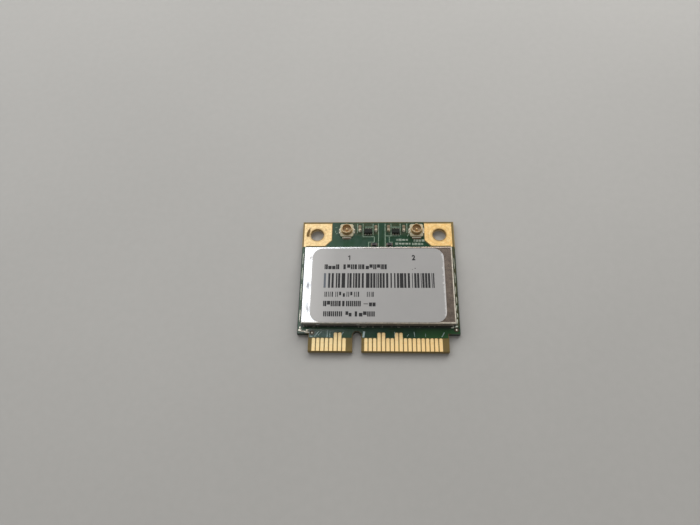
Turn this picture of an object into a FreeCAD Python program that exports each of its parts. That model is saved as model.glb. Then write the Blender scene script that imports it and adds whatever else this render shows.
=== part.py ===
import FreeCAD, Part

import math
import os
import re

import Sketcher

# Laptop wifi card: a half-size mini card lying with its parts upwards.
# X runs across the card, Y towards the antenna end and Z up from the underside of the gold.
# The origin is under the middle of the card.

# Driving dimensions in millimetres, and counts
SIZES = {
    # Board, gold and mask
    "board_thickness": 1.0,
    "gold_thickness": 0.04,
    "mask_thickness": 0.03,
    "mask_inset": 0.12,
    "mask_gap": 0.12,
    # Tongue of the edge connector, its key notch and the wings beside it
    "tongue_depth": 3.35,
    "tongue_bevel": 0.1,
    "tongue_left_margin": 1.0,
    "tongue_right_margin": 1.5,
    "wing_width": 2.15,
    "bare_tongue": 2.6,
    "notch_width": 1.65,
    "notch_depth": 3.8,
    "notch_from_contact": 1.67,
    # Edge contacts
    "short_row_count": 8,
    "long_row_count": 18,
    "contact_pitch": 0.8,
    "row_gap": 4.0,
    "contact_width": 0.6,
    "contact_setback": 0.1,
    "contact_length": 2.45,
    "long_contact_length": 3.5,
    "contact_corner": 0.15,
    "underside_shift": 0.4,
    # Screw holes and their gold pads
    "hole_radius": 1.3,
    "hole_inset": 2.9,
    "pad_inset": 0.3,
    "pad_width": 5.5,
    "pad_length": 5.05,
    "pad_corner_cut": 1.3,
    "pad_tip_width": 0.5,
    "pad_tip_length": 0.2,
    # Antenna jacks
    "jack_1_gap": 1.44,
    "jack_2_gap": 0.04,
    "jack_back_gap": 0.7,
    "jack_base_width": 2.6,
    "jack_base_length": 2.7,
    "jack_base_height": 0.4,
    "jack_base_corner": 0.25,
    "jack_height": 1.25,
    "ring_radius": 1.0,
    "ring_wall": 0.15,
    "ring_flange": 0.12,
    "ring_groove_depth": 0.06,
    "ring_groove_width": 0.18,
    "ring_groove_height": 0.7,
    "ring_edge_cut": 0.05,
    "strap_thickness": 0.08,
    "strap_width": 0.9,
    "strap_foot": 0.12,
    "joint_reach": 0.06,
    "joint_width": 0.7,
    "joint_height": 0.26,
    "pin_radius": 0.22,
    "pin_height": 1.0,
    "pin_nose": 0.1,
    "pin_neck_width": 0.6,
    "pin_foot_width": 1.7,
    "pin_foot_length": 0.3,
    # Shield: lid, frame and track
    "lid_length": 15.55,
    "lid_side_gap": 0.85,
    "lid_front_gap": 1.475,
    "lid_back_gap": 1.075,
    "shield_height": 1.7,
    "sheet_thickness": 0.2,
    "lid_fold_radius": 0.15,
    "lid_skirt_gap": 0.3,
    "lid_corner_slit": 0.35,
    "snap_gap": 0.05,
    "frame_corner_radius": 0.4,
    "frame_rim_width": 0.8,
    "frame_bridge_width": 2.5,
    "trace_port_width": 1.4,
    "trace_port_height": 0.3,
    "dimple_length": 0.6,
    "dimple_width": 0.35,
    "dimple_reach": 0.1,
    "dimple_hole_gap": 0.05,
    "dimple_height": 0.8,
    "long_side_dimples": 4,
    "long_side_end": 3.05,
    "short_side_dimples": 2,
    "short_side_end": 3.975,
    "track_outer_margin": 0.25,
    "track_inner_margin": 0.4,
    # Label, by its margins on the lid
    "label_left_margin": 1.55,
    "label_right_margin": 1.65,
    "label_front_margin": 0.2,
    "label_back_margin": 0.4,
    "label_thickness": 0.08,
    "label_corner_radius": 2.0,
    # Parts under the shield stand this far from the frame and from each other
    "part_gap": 0.5,
    # Wifi chip
    "wifi_chip_width": 8.0,
    "wifi_chip_height": 0.85,
    "wifi_chip_chamfer": 0.2,
    "wifi_terminal_count": 14,
    "wifi_terminal_width": 0.24,
    "wifi_terminal_length": 0.45,
    "wifi_terminal_corner": 0.75,
    "wifi_heat_pad_gap": 0.85,
    "terminal_thickness": 0.04,
    # Crystal
    "crystal_length": 3.2,
    "crystal_width": 2.5,
    "crystal_case_height": 0.6,
    "crystal_cover_margin": 0.15,
    "crystal_cover_height": 0.12,
    "crystal_corner_radius": 0.2,
    # Chips with bent leads
    "lead_thickness": 0.12,
    "lead_reach": 0.3,
    "lead_foot": 0.4,
    "memory_chip_length": 3.0,
    "memory_chip_width": 3.0,
    "memory_chip_height": 0.95,
    "memory_lead_count": 4,
    "memory_lead_pitch": 0.65,
    "memory_lead_width": 0.24,
    "regulator_length": 2.9,
    "regulator_width": 1.6,
    "regulator_height": 1.0,
    "regulator_lead_count": 3,
    "regulator_lead_pitch": 0.95,
    "regulator_lead_width": 0.4,
    "chip_stand_off": 0.05,
    "chip_chamfer": 0.12,
    # Power inductor
    "inductor_width": 3.0,
    "inductor_height": 1.1,
    "inductor_terminal_length": 0.6,
    "inductor_corner_cut": 0.4,
    # Power amplifiers and band filters
    "amplifier_width": 2.8,
    "amplifier_height": 0.8,
    "amplifier_heat_pad_width": 1.6,
    "filter_spacing": 4.8,
    "filter_length": 2.0,
    "filter_width": 1.25,
    "filter_height": 0.7,
    "filter_end": 0.35,
    # Small two-ended parts
    "chip_part_length": 1.0,
    "chip_part_width": 0.5,
    "chip_part_height": 0.5,
    "resistor_height": 0.35,
    "chip_part_end": 0.25,
    "end_wrap": 0.02,
    "capacitor_count": 6,
    "capacitor_pitch": 1.3,
    "resistor_count": 5,
    "resistor_pitch": 0.9,
    # Parts at the antenna end, each by its share of the way from jack to jack
    "matching_1_share": 0.188,
    "matching_2_share": 0.42,
    "matching_3_share": 0.601,
    "matching_4_share": 0.819,
    "matching_back_gap": 1.0,
    "switch_1_share": 0.308,
    "switch_2_share": 0.7065,
    "switch_back_gap": 1.5,
    "switch_length": 1.5,
    "switch_width": 0.9,
    "switch_height": 0.55,
    "switch_lead_count": 3,
    "switch_lead_pitch": 0.5,
    "switch_lead_width": 0.26,
    "switch_lead_length": 0.3,
    "side_resistor_1_share": 0.395,
    "side_resistor_2_share": 0.612,
    "side_resistor_gap": 1.075,
    "land_margin": 0.1,
    # Fiducial dots and test pads
    "fiducial_radius": 0.16,
    "fiducial_window_radius": 0.4,
    "tongue_fiducial_inset": 0.65,
    "tongue_fiducial_rise": 0.2,
    "wing_fiducial_inset": 0.7,
    "wing_fiducial_rise": 0.85,
    "test_pad_side": 0.9,
    "test_pad_count": 4,
    "test_pad_pitch": 3.0,
    "test_pad_inset": 9.4,
}

# Edge contacts of each row in runs: first contact, how many, and whether they are long
SHORT_ROW_RUNS = (("0", "5", False), ("5", "2", True), ("7", "short_row_count - 7", False))
LONG_ROW_RUNS = (
    ("0", "3", False),
    ("3", "2", True),
    ("5", "2", False),
    ("7", "2", True),
    ("9", "long_row_count - 9", False),
)
UNDERSIDE_SHORT_RUNS = (("0", "short_row_count", False),)
UNDERSIDE_LONG_RUNS = (("0", "long_row_count", False),)

# Outline: the contacts set the width, and the tongue, shield and pads in line set the length
TONGUE_WIDTH = (
    "(tongue_left_margin + (short_row_count + long_row_count - 2) * contact_pitch"
    " + row_gap + tongue_right_margin)"
)
SIDE = f"({TONGUE_WIDTH} / 2 + wing_width)"
BACK = "((tongue_depth + lid_front_gap + lid_length + lid_back_gap + pad_length + pad_inset) / 2)"
FRONT = f"(-{BACK})"
WING = f"(tongue_depth - {BACK})"
TONGUE_SIDE = f"({TONGUE_WIDTH} / 2)"
SHORT_ROW_START = f"(tongue_left_margin - {TONGUE_SIDE})"
LONG_ROW_START = f"({SHORT_ROW_START} + (short_row_count - 1) * contact_pitch + row_gap)"
NOTCH_X = f"({LONG_ROW_START} - notch_from_contact)"
NOTCH_ROUND_Y = f"({FRONT} + notch_depth - notch_width / 2)"

# Levels in the board's stack
LAMINATE_TOP = "(board_thickness - gold_thickness)"
MASK_TOP = "(board_thickness - gold_thickness + mask_thickness)"
GOLD_TOP = "board_thickness"

# Screw pads and holes
PAD_OUTER = f"({SIDE} - pad_inset)"
PAD_INNER = f"({SIDE} - pad_inset - pad_width)"
PAD_BACK = f"({BACK} - pad_inset)"
PAD_FRONT = f"({BACK} - pad_inset - pad_length)"
HOLE_X = f"({SIDE} - hole_inset)"
HOLE_Y = f"({BACK} - hole_inset)"

# Shield and the space inside its frame
SHIELD_Y = f"({WING} + lid_front_gap + lid_length / 2)"
LID_WIDTH = f"(2 * {SIDE} - 2 * lid_side_gap)"
FRAME_WIDTH = f"({LID_WIDTH} - 2 * sheet_thickness - 2 * snap_gap)"
FRAME_LENGTH = "(lid_length - 2 * sheet_thickness - 2 * snap_gap)"
CAVITY_SIDE = f"({FRAME_WIDTH} / 2 - sheet_thickness)"
CAVITY_BACK = f"({SHIELD_Y} + {FRAME_LENGTH} / 2 - sheet_thickness)"
CAVITY_FRONT = f"({SHIELD_Y} - {FRAME_LENGTH} / 2 + sheet_thickness)"

# Columns of parts under the shield, from the frame's walls inwards
CRYSTAL_X = f"(-({CAVITY_SIDE} - part_gap - crystal_width / 2))"
MEMORY_X = f"(-({CAVITY_SIDE} - 2 * part_gap - crystal_width - memory_chip_length / 2))"
INDUCTOR_X = f"({CAVITY_SIDE} - part_gap - inductor_width / 2)"
REGULATOR_X = f"({CAVITY_SIDE} - 2 * part_gap - inductor_width - regulator_length / 2)"
LEAD_SPAN = "(lead_reach + lead_foot)"

# Antenna jacks and what lies between them
JACK_HALF = "(jack_base_width / 2 + strap_thickness + strap_foot + joint_reach)"
JACK_X = {
    1: f"(-({PAD_INNER} - jack_1_gap - {JACK_HALF}))",
    2: f"({PAD_INNER} - jack_2_gap - {JACK_HALF})",
}
JACK_Y = f"({BACK} - jack_back_gap - jack_base_length / 2)"

DOC = FreeCAD.newDocument("LaptopWifiCard")
SHEET = DOC.addObject("Spreadsheet::Sheet", "Sizes")
PIECES = []


def fill_sheet():
    """Write every driving dimension into the sheet, under its own alias."""
    for row, (alias, size) in enumerate(SIZES.items(), start=1):
        SHEET.set(f"A{row}", alias)
        SHEET.set(f"B{row}", str(size))
        SHEET.setAlias(f"B{row}", alias)
    DOC.recompute()


def bound(text):
    """The expression with each size led by the name of its sheet."""
    return re.sub(r"[a-z][a-z0-9_]*", lambda word: f"Sizes.{word.group()}", text)


def size_of(text):
    """What the expression comes to with the sheet's present sizes."""
    return float(SHEET.evalExpression(bound(text)))


def new_body(label):
    """A named piece; where it is a group, its solids stay separate."""
    body = DOC.addObject("PartDesign::Body", label)
    body.Label = label
    body.AllowCompound = True
    PIECES.append(body)
    return body


def move_body(body, x="0", y="0", z="0"):
    """Place a piece that is drawn about its own origin."""
    for axis, distance in (("x", x), ("y", y), ("z", z)):
        body.setExpression(f".Placement.Base.{axis}", bound(distance))


def new_sketch(body, name, role="XY_Plane", level="0"):
    """A sketch on one of the body's own planes, raised along that plane's normal."""
    sketch = body.newObject("Sketcher::SketchObject", name)
    plane = next(item for item in body.Origin.OriginFeatures if item.Role == role)
    sketch.AttachmentSupport = [(plane, "")]
    sketch.MapMode = "FlatFace"
    sketch.setExpression("AttachmentOffset.Base.z", bound(level))
    return sketch


def sized(kind, *items, size):
    """A driving constraint and the expression that its value follows."""
    return Sketcher.Constraint(kind, *items, size_of(size)), size


def add_rules(sketch, rules):
    """Add constraints in one go, each with its expression or None."""
    numbers = sketch.addConstraint([rule for rule, _ in rules])
    for number, (_, size) in zip(numbers, rules):
        if size is not None:
            sketch.setExpression(f"Constraints[{number}]", bound(size))


def draw_outline(sketch, path):
    """A closed outline. Each entry is x and y and, where an arc runs on to the next entry,
    the arc's centre and its turn, left or right."""
    ends = []
    for index, entry in enumerate(path):
        follower = path[(index + 1) % len(path)]
        start = FreeCAD.Vector(size_of(entry[0]), size_of(entry[1]), 0)
        finish = FreeCAD.Vector(size_of(follower[0]), size_of(follower[1]), 0)
        if len(entry) == 2:
            number = sketch.addGeometry(Part.LineSegment(start, finish))
            ends.append((number, 1, 2))
            continue
        centre = FreeCAD.Vector(size_of(entry[2]), size_of(entry[3]), 0)
        first, last = (start, finish) if entry[4] == "left" else (finish, start)
        first_angle = math.atan2(first.y - centre.y, first.x - centre.x)
        last_angle = math.atan2(last.y - centre.y, last.x - centre.x)
        if last_angle <= first_angle:
            last_angle += 2 * math.pi
        circle = Part.Circle(centre, FreeCAD.Vector(0, 0, 1), (first - centre).Length)
        number = sketch.addGeometry(Part.ArcOfCircle(circle, first_angle, last_angle))
        ends.append((number, 1, 2) if entry[4] == "left" else (number, 2, 1))
    rules = []
    for index, entry in enumerate(path):
        number, begin, end = ends[index]
        next_number, next_begin, _ = ends[(index + 1) % len(path)]
        rules.append((Sketcher.Constraint("Coincident", number, end, next_number, next_begin), None))
        rules.append(sized("DistanceX", -1, 1, number, begin, size=entry[0]))
        rules.append(sized("DistanceY", -1, 1, number, begin, size=entry[1]))
        if len(entry) > 2 and path[(index + 1) % len(path)][1] == entry[1]:
            rules.append(sized("DistanceY", -1, 1, number, 3, size=entry[3]))
        elif len(entry) > 2:
            rules.append(sized("DistanceX", -1, 1, number, 3, size=entry[2]))
    add_rules(sketch, rules)


def draw_box(sketch, left, right, front, back):
    """An upright rectangle between four edges."""
    low = FreeCAD.Vector(size_of(left), size_of(front), 0)
    high = FreeCAD.Vector(size_of(right), size_of(back), 0)
    corners = [low, FreeCAD.Vector(high.x, low.y, 0), high, FreeCAD.Vector(low.x, high.y, 0)]
    sides = []
    for index, corner in enumerate(corners):
        sides.append(sketch.addGeometry(Part.LineSegment(corner, corners[(index + 1) % 4])))
    rules = []
    for index, side in enumerate(sides):
        follower = sides[(index + 1) % 4]
        rules.append((Sketcher.Constraint("Coincident", side, 2, follower, 1), None))
        rules.append((Sketcher.Constraint("Vertical" if index % 2 else "Horizontal", side), None))
    rules.append(sized("DistanceX", -1, 1, sides[0], 1, size=left))
    rules.append(sized("DistanceY", -1, 1, sides[0], 1, size=front))
    rules.append(sized("DistanceX", -1, 1, sides[2], 1, size=right))
    rules.append(sized("DistanceY", -1, 1, sides[2], 1, size=back))
    add_rules(sketch, rules)


def draw_centred_box(sketch, x, y, wide, deep):
    """An upright rectangle about a centre."""
    draw_box(
        sketch,
        f"{x} - ({wide}) / 2",
        f"{x} + ({wide}) / 2",
        f"{y} - ({deep}) / 2",
        f"{y} + ({deep}) / 2",
    )


def draw_circle(sketch, x, y, radius):
    """A circle about a centre."""
    centre = FreeCAD.Vector(size_of(x), size_of(y), 0)
    number = sketch.addGeometry(Part.Circle(centre, FreeCAD.Vector(0, 0, 1), size_of(radius)))
    rules = [
        sized("DistanceX", -1, 1, number, 3, size=x),
        sized("DistanceY", -1, 1, number, 3, size=y),
        sized("Radius", number, size=radius),
    ]
    add_rules(sketch, rules)


def pad(body, sketch, length, centred=False, backwards=False):
    """Raise a sketch into a solid."""
    feature = body.newObject("PartDesign::Pad", "pad")
    feature.Profile = sketch
    feature.SideType = "Symmetric" if centred else "One side"
    feature.Reversed = backwards
    feature.setExpression("Length", bound(length))
    body.Tip = feature
    DOC.recompute()
    return feature


def pocket(body, sketch, length=None, centred=False, backwards=False):
    """Cut a sketch out of a body, right through where no length is given, and see that it cuts."""
    before = body.Shape.Volume
    feature = body.newObject("PartDesign::Pocket", "pocket")
    feature.Profile = sketch
    feature.SideType = "Symmetric" if centred else "One side"
    feature.Reversed = backwards
    if length is None:
        feature.Type = "ThroughAll"
    else:
        feature.setExpression("Length", bound(length))
    body.Tip = feature
    DOC.recompute()
    if body.Shape.Volume >= before:
        raise RuntimeError(f"{body.Label}: {sketch.Label} cuts nothing")
    return feature


def revolve(body, sketch):
    """Turn a sketch about its own upright axis."""
    feature = body.newObject("PartDesign::Revolution", "revolution")
    feature.Profile = sketch
    feature.ReferenceAxis = (sketch, ["V_Axis"])
    body.Tip = feature
    DOC.recompute()
    return feature


def repeat(body, feature, sketch, axis, count, pitch):
    """Repeat a feature along one axis of its sketch."""
    pattern = body.newObject("PartDesign::LinearPattern", "row")
    pattern.Originals = [feature]
    pattern.Direction = (sketch, [axis])
    pattern.Mode = "Spacing"
    pattern.setExpression("Offset", bound(pitch))
    pattern.setExpression("Occurrences", bound(count))
    body.Tip = pattern
    DOC.recompute()
    return pattern


def mirror(body, features, role):
    """Mirror features about one of the body's own planes."""
    copy = body.newObject("PartDesign::Mirrored", "mirror")
    copy.Originals = features
    plane = next(item for item in body.Origin.OriginFeatures if item.Role == role)
    copy.MirrorPlane = (plane, [""])
    body.Tip = copy
    DOC.recompute()
    return copy


def dress(body, kind, size, wanted):
    """Round or bevel the edges of the tip that the test wants."""
    tip = body.Tip
    edges = tip.Shape.Edges
    names = [f"Edge{number}" for number, edge in enumerate(edges, start=1) if wanted(edge)]
    feature = body.newObject(f"PartDesign::{kind}", kind.lower())
    feature.Base = (tip, names)
    feature.setExpression("Radius" if kind == "Fillet" else "Size", bound(size))
    body.Tip = feature
    DOC.recompute()
    return feature


def is_upright(edge):
    """Whether an edge runs along Z."""
    box = edge.BoundBox
    return box.XLength < 1e-6 and box.YLength < 1e-6


def is_level_at(edge, height):
    """Whether an edge lies flat at a height."""
    box = edge.BoundBox
    return box.ZLength < 1e-6 and abs(box.ZMin - height) < 1e-6


def blocks(label, level, height, boxes):
    """A group of blocks on one level; each box is its centre and its size along X and Y."""
    body = new_body(label)
    sketch = new_sketch(body, "footprints", level=level)
    for x, y, wide, deep in boxes:
        draw_centred_box(sketch, x, y, wide, deep)
    pad(body, sketch, height)
    return body


def board_outline(inset, front_edge):
    """The card's outline, drawn in by an inset, whose tongue ends at front_edge."""
    side = f"{SIDE} - {inset}"
    back = f"{BACK} - {inset}"
    wing = f"{WING} + {inset}"
    tongue = f"{TONGUE_SIDE} - {inset}"
    notch_left = f"{NOTCH_X} - notch_width / 2 - {inset}"
    notch_right = f"{NOTCH_X} + notch_width / 2 + {inset}"
    corners = (
        (f"-({side})", back),
        (f"-({side})", wing),
        (f"-({tongue})", wing),
        (f"-({tongue})", front_edge),
        (notch_left, front_edge),
        (notch_left, NOTCH_ROUND_Y, NOTCH_X, NOTCH_ROUND_Y, "right"),
        (notch_right, NOTCH_ROUND_Y),
        (notch_right, front_edge),
        (tongue, front_edge),
        (tongue, wing),
        (side, wing),
        (side, back),
    )
    return corners


def make_circuit_board():
    """Bare laminate with the tongue, the key notch and two screw holes."""
    body = new_body("circuit_board")
    outline = new_sketch(body, "outline", level="gold_thickness")
    draw_outline(outline, board_outline("0", FRONT))
    pad(body, outline, "board_thickness - 2 * gold_thickness")
    holes = new_sketch(body, "holes")
    for side in (-1, 1):
        draw_circle(holes, f"{side} * {HOLE_X}", HOLE_Y, "hole_radius")
    pocket(body, holes, backwards=True)
    front = size_of(FRONT)
    dress(body, "Chamfer", "tongue_bevel", lambda edge: edge.BoundBox.YMax < front + 1e-6
          and edge.BoundBox.ZLength < 1e-6)


def mask_outline():
    """The mask's outline: inside the card's edges, clear of the tongue and of the screw pads."""
    edge = "mask_inset"
    around = board_outline(edge, f"({FRONT} + bare_tongue)")
    side = f"{SIDE} - {edge}"
    back = f"{BACK} - {edge}"
    below_pad = f"{PAD_FRONT} - pad_tip_length"
    beside_pad = f"{PAD_INNER} - mask_gap"
    cut_x = f"{PAD_INNER} + pad_corner_cut - mask_gap"
    cut_y = f"{PAD_FRONT} + pad_corner_cut - mask_gap"
    left = (
        (f"-({beside_pad})", back),
        (f"-({beside_pad})", cut_y),
        (f"-({cut_x})", below_pad),
        (f"-({side})", below_pad),
    )
    right = tuple((x[2:-1], y) for x, y in reversed(left))
    return left + around[1:-1] + right


def long_runs(runs, start):
    """Where the long contacts of a row lie: the outer edges of each pair."""
    edges = []
    for first, count, is_long in runs:
        if is_long:
            left = f"{start} + {first} * contact_pitch - contact_width / 2 - mask_gap / 2"
            last = f"({first} + {count} - 1)"
            right = f"{start} + {last} * contact_pitch + contact_width / 2 + mask_gap / 2"
            edges.append((left, right))
    return edges


def draw_finger(sketch, left, right, front, back, corner):
    """The outline of a contact, or of a window for some: its far corners are cut."""
    draw_outline(
        sketch,
        (
            (left, front),
            (right, front),
            (right, f"{back} - {corner}"),
            (f"{right} - {corner}", back),
            (f"{left} + {corner}", back),
            (left, f"{back} - {corner}"),
        ),
    )


def make_solder_mask_top():
    """Top skin, open at the track of the shield, the lands, the long contacts and the dots."""
    body = new_body("solder_mask_top")
    outline = new_sketch(body, "outline", level=LAMINATE_TOP)
    draw_outline(outline, mask_outline())
    pad(body, outline, "mask_thickness")
    ring = new_sketch(body, "track_window", level=LAMINATE_TOP)
    draw_track(ring)
    pocket(body, ring, backwards=True)
    windows = new_sketch(body, "land_windows", level=LAMINATE_TOP)
    for x, y, wide, deep in outside_lands():
        draw_centred_box(windows, x, y, wide, deep)
    pocket(body, windows, backwards=True)
    tall = new_sketch(body, "contact_windows", level=LAMINATE_TOP)
    rows = long_runs(SHORT_ROW_RUNS, SHORT_ROW_START) + long_runs(LONG_ROW_RUNS, LONG_ROW_START)
    for left, right in rows:
        top = f"{FRONT} + contact_setback + long_contact_length + mask_gap / 2"
        draw_finger(tall, left, right, FRONT, top, "contact_corner")
    pocket(body, tall, backwards=True)
    dots = new_sketch(body, "dot_windows", level=LAMINATE_TOP)
    draw_fiducials(dots, "fiducial_window_radius")
    pocket(body, dots, backwards=True)


def make_solder_mask_underside():
    """Underside skin, open at the test pads."""
    body = new_body("solder_mask_underside")
    outline = new_sketch(body, "outline", level="gold_thickness")
    draw_outline(outline, mask_outline())
    pad(body, outline, "mask_thickness", backwards=True)
    dots = new_sketch(body, "test_pad_windows", level="gold_thickness")
    draw_test_pads(dots)
    pocket(body, dots)


def make_contacts(label, runs, start, level):
    """One row of gold edge contacts, made run by run as a first contact and its repeats."""
    body = new_body(label)
    front = f"{FRONT} + contact_setback"
    for first, count, is_long in runs:
        sketch = new_sketch(body, "contact", level=level)
        left = f"{start} + {first} * contact_pitch - contact_width / 2"
        right = f"{start} + {first} * contact_pitch + contact_width / 2"
        length = "long_contact_length" if is_long else "contact_length"
        draw_finger(sketch, left, right, front, f"{front} + {length}", "contact_corner")
        contact = pad(body, sketch, "gold_thickness")
        if size_of(count) > 1:
            repeat(body, contact, sketch, "H_Axis", count, "contact_pitch")


def draw_pad_outline(sketch, side, tip):
    """A screw pad's outline on one side of the card, with its tip along the shield or without."""
    outer = f"{side} * {PAD_OUTER}"
    inner = f"{side} * {PAD_INNER}"
    cut_x = f"{side} * ({PAD_INNER} + pad_corner_cut)"
    path = [
        (outer, PAD_BACK),
        (inner, PAD_BACK),
        (inner, f"{PAD_FRONT} + pad_corner_cut"),
        (cut_x, PAD_FRONT),
    ]
    if tip:
        tip_x = f"{side} * ({PAD_OUTER} - pad_tip_width)"
        path.append((tip_x, PAD_FRONT))
        path.append((tip_x, f"{PAD_FRONT} - pad_tip_length"))
        path.append((outer, f"{PAD_FRONT} - pad_tip_length"))
    else:
        path.append((outer, PAD_FRONT))
    draw_outline(sketch, path)


def make_mounting_pad(label, side):
    """Gold round the screw hole, on both faces of the card."""
    body = new_body(label)
    under = new_sketch(body, "underside_pad")
    draw_pad_outline(under, side, tip=False)
    pad(body, under, "gold_thickness")
    top = new_sketch(body, "top_pad", level=LAMINATE_TOP)
    draw_pad_outline(top, side, tip=True)
    pad(body, top, "gold_thickness")
    bore = new_sketch(body, "bore")
    draw_circle(bore, f"{side} * {HOLE_X}", HOLE_Y, "hole_radius")
    pocket(body, bore, backwards=True)


def make_jack_base(label, number):
    """Moulded base with cut corners, a hole for the pin and a channel for its neck."""
    body = new_body(label)
    half = "jack_base_width / 2"
    deep = "jack_base_length / 2"
    cut = "jack_base_corner"
    sketch = new_sketch(body, "outline")
    draw_outline(
        sketch,
        (
            (f"-{half} + {cut}", f"-{deep}"),
            (f"{half} - {cut}", f"-{deep}"),
            (half, f"-{deep} + {cut}"),
            (half, f"{deep} - {cut}"),
            (f"{half} - {cut}", deep),
            (f"-{half} + {cut}", deep),
            (f"-{half}", f"{deep} - {cut}"),
            (f"-{half}", f"-{deep} + {cut}"),
        ),
    )
    pad(body, sketch, "jack_base_height")
    channel = new_sketch(body, "channel")
    draw_box(channel, "-pin_neck_width / 2", "pin_neck_width / 2", f"-{deep}", "pin_neck_width / 2")
    pocket(body, channel, "strap_thickness", backwards=True)
    hole = new_sketch(body, "pin_hole")
    draw_circle(hole, "0", "0", "pin_radius")
    pocket(body, hole, backwards=True)
    move_body(body, JACK_X[number], JACK_Y, GOLD_TOP)


def make_jack_ring(label, number):
    """Turned-form ring with its snap groove, on a flange with two straps down to the board."""
    body = new_body(label)
    inner = "(ring_radius - ring_wall)"
    flange = "(ring_radius + ring_flange)"
    flange_top = "(jack_base_height + strap_thickness)"
    groove_low = "(ring_groove_height - ring_groove_width / 2)"
    groove_high = "(ring_groove_height + ring_groove_width / 2)"
    section = new_sketch(body, "ring_section", "XZ_Plane")
    draw_outline(
        section,
        (
            (inner, "jack_base_height"),
            (flange, "jack_base_height"),
            (flange, flange_top),
            ("ring_radius", flange_top),
            ("ring_radius", groove_low),
            ("ring_radius - ring_groove_depth", groove_low),
            ("ring_radius - ring_groove_depth", groove_high),
            ("ring_radius", groove_high),
            ("ring_radius", "jack_height - ring_edge_cut"),
            ("ring_radius - ring_edge_cut", "jack_height"),
            (f"{inner} + ring_edge_cut", "jack_height"),
            (inner, "jack_height - ring_edge_cut"),
        ),
    )
    revolve(body, section)
    wall = "(jack_base_width / 2)"
    foot = f"({wall} + strap_thickness + strap_foot)"
    strap = new_sketch(body, "strap_section", "XZ_Plane")
    draw_outline(
        strap,
        (
            ("ring_radius", "jack_base_height"),
            (wall, "jack_base_height"),
            (wall, "0"),
            (foot, "0"),
            (foot, "strap_thickness"),
            (f"{wall} + strap_thickness", "strap_thickness"),
            (f"{wall} + strap_thickness", flange_top),
            ("ring_radius", flange_top),
        ),
    )
    straps = pad(body, strap, "strap_width", centred=True)
    mirror(body, [straps], "YZ_Plane")
    move_body(body, JACK_X[number], JACK_Y, GOLD_TOP)


def make_jack_pin(label, number):
    """Pin with a tapered nose, on a neck that runs out to a wide solder foot."""
    body = new_body(label)
    foot = new_sketch(body, "foot")
    neck = "(pin_neck_width / 2)"
    edge = "(pin_foot_width / 2)"
    deep = "(-jack_base_length / 2)"
    draw_outline(
        foot,
        (
            (f"-{neck}", neck),
            (f"-{neck}", deep),
            (f"-{edge}", deep),
            (f"-{edge}", f"{deep} - pin_foot_length"),
            (edge, f"{deep} - pin_foot_length"),
            (edge, deep),
            (neck, deep),
            (neck, neck),
        ),
    )
    pad(body, foot, "strap_thickness")
    section = new_sketch(body, "pin_section", "XZ_Plane")
    nose = "(pin_radius - pin_nose)"
    draw_outline(
        section,
        (
            ("0", "0"),
            ("pin_radius", "0"),
            ("pin_radius", "pin_height - pin_nose"),
            (nose, "pin_height"),
            ("0", "pin_height"),
        ),
    )
    revolve(body, section)
    move_body(body, JACK_X[number], JACK_Y, GOLD_TOP)


def make_jack_solder(label, number):
    """Solder fillets that run up the straps from their lands."""
    body = new_body(label)
    wall = "(jack_base_width / 2 + strap_thickness)"
    foot = f"({wall} + strap_foot)"
    sketch = new_sketch(body, "fillet_section", "XZ_Plane")
    draw_outline(
        sketch,
        (
            (wall, "strap_thickness"),
            (foot, "strap_thickness"),
            (foot, "0"),
            (f"{foot} + joint_reach", "0"),
            (f"{foot} + joint_reach", "strap_thickness"),
            (f"{foot} - joint_reach", "joint_height * 0.75"),
            (wall, "joint_height"),
        ),
    )
    joint = pad(body, sketch, "joint_width", centred=True)
    mirror(body, [joint], "YZ_Plane")
    move_body(body, JACK_X[number], JACK_Y, GOLD_TOP)


def draw_track(sketch):
    """The ring of tinned copper under the shield frame."""
    outer_wide = f"{LID_WIDTH} + 2 * track_outer_margin"
    outer_deep = "lid_length + 2 * track_outer_margin"
    inner_wide = f"{FRAME_WIDTH} - 2 * sheet_thickness - 2 * track_inner_margin"
    inner_deep = f"{FRAME_LENGTH} - 2 * sheet_thickness - 2 * track_inner_margin"
    draw_centred_box(sketch, "0", SHIELD_Y, outer_wide, outer_deep)
    draw_centred_box(sketch, "0", SHIELD_Y, inner_wide, inner_deep)


def make_shield_track():
    """Tinned track that the shield frame is soldered to."""
    body = new_body("shield_solder_track")
    sketch = new_sketch(body, "ring", level=LAMINATE_TOP)
    draw_track(sketch)
    pad(body, sketch, "gold_thickness")


def dimple_rows():
    """Snap dimples of the long and the short sides: plane, count, first, pitch and half width."""
    rows = []
    for role, side, wide, half in (
        ("XZ_Plane", "long_side", LID_WIDTH, "(lid_length / 2)"),
        ("YZ_Plane", "short_side", "lid_length", f"({LID_WIDTH} / 2)"),
    ):
        first = f"({side}_end - {wide} / 2)"
        pitch = f"(({wide} - 2 * {side}_end) / ({side}_dimples - 1))"
        rows.append((role, f"{side}_dimples", first, pitch, half))
    return rows


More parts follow.
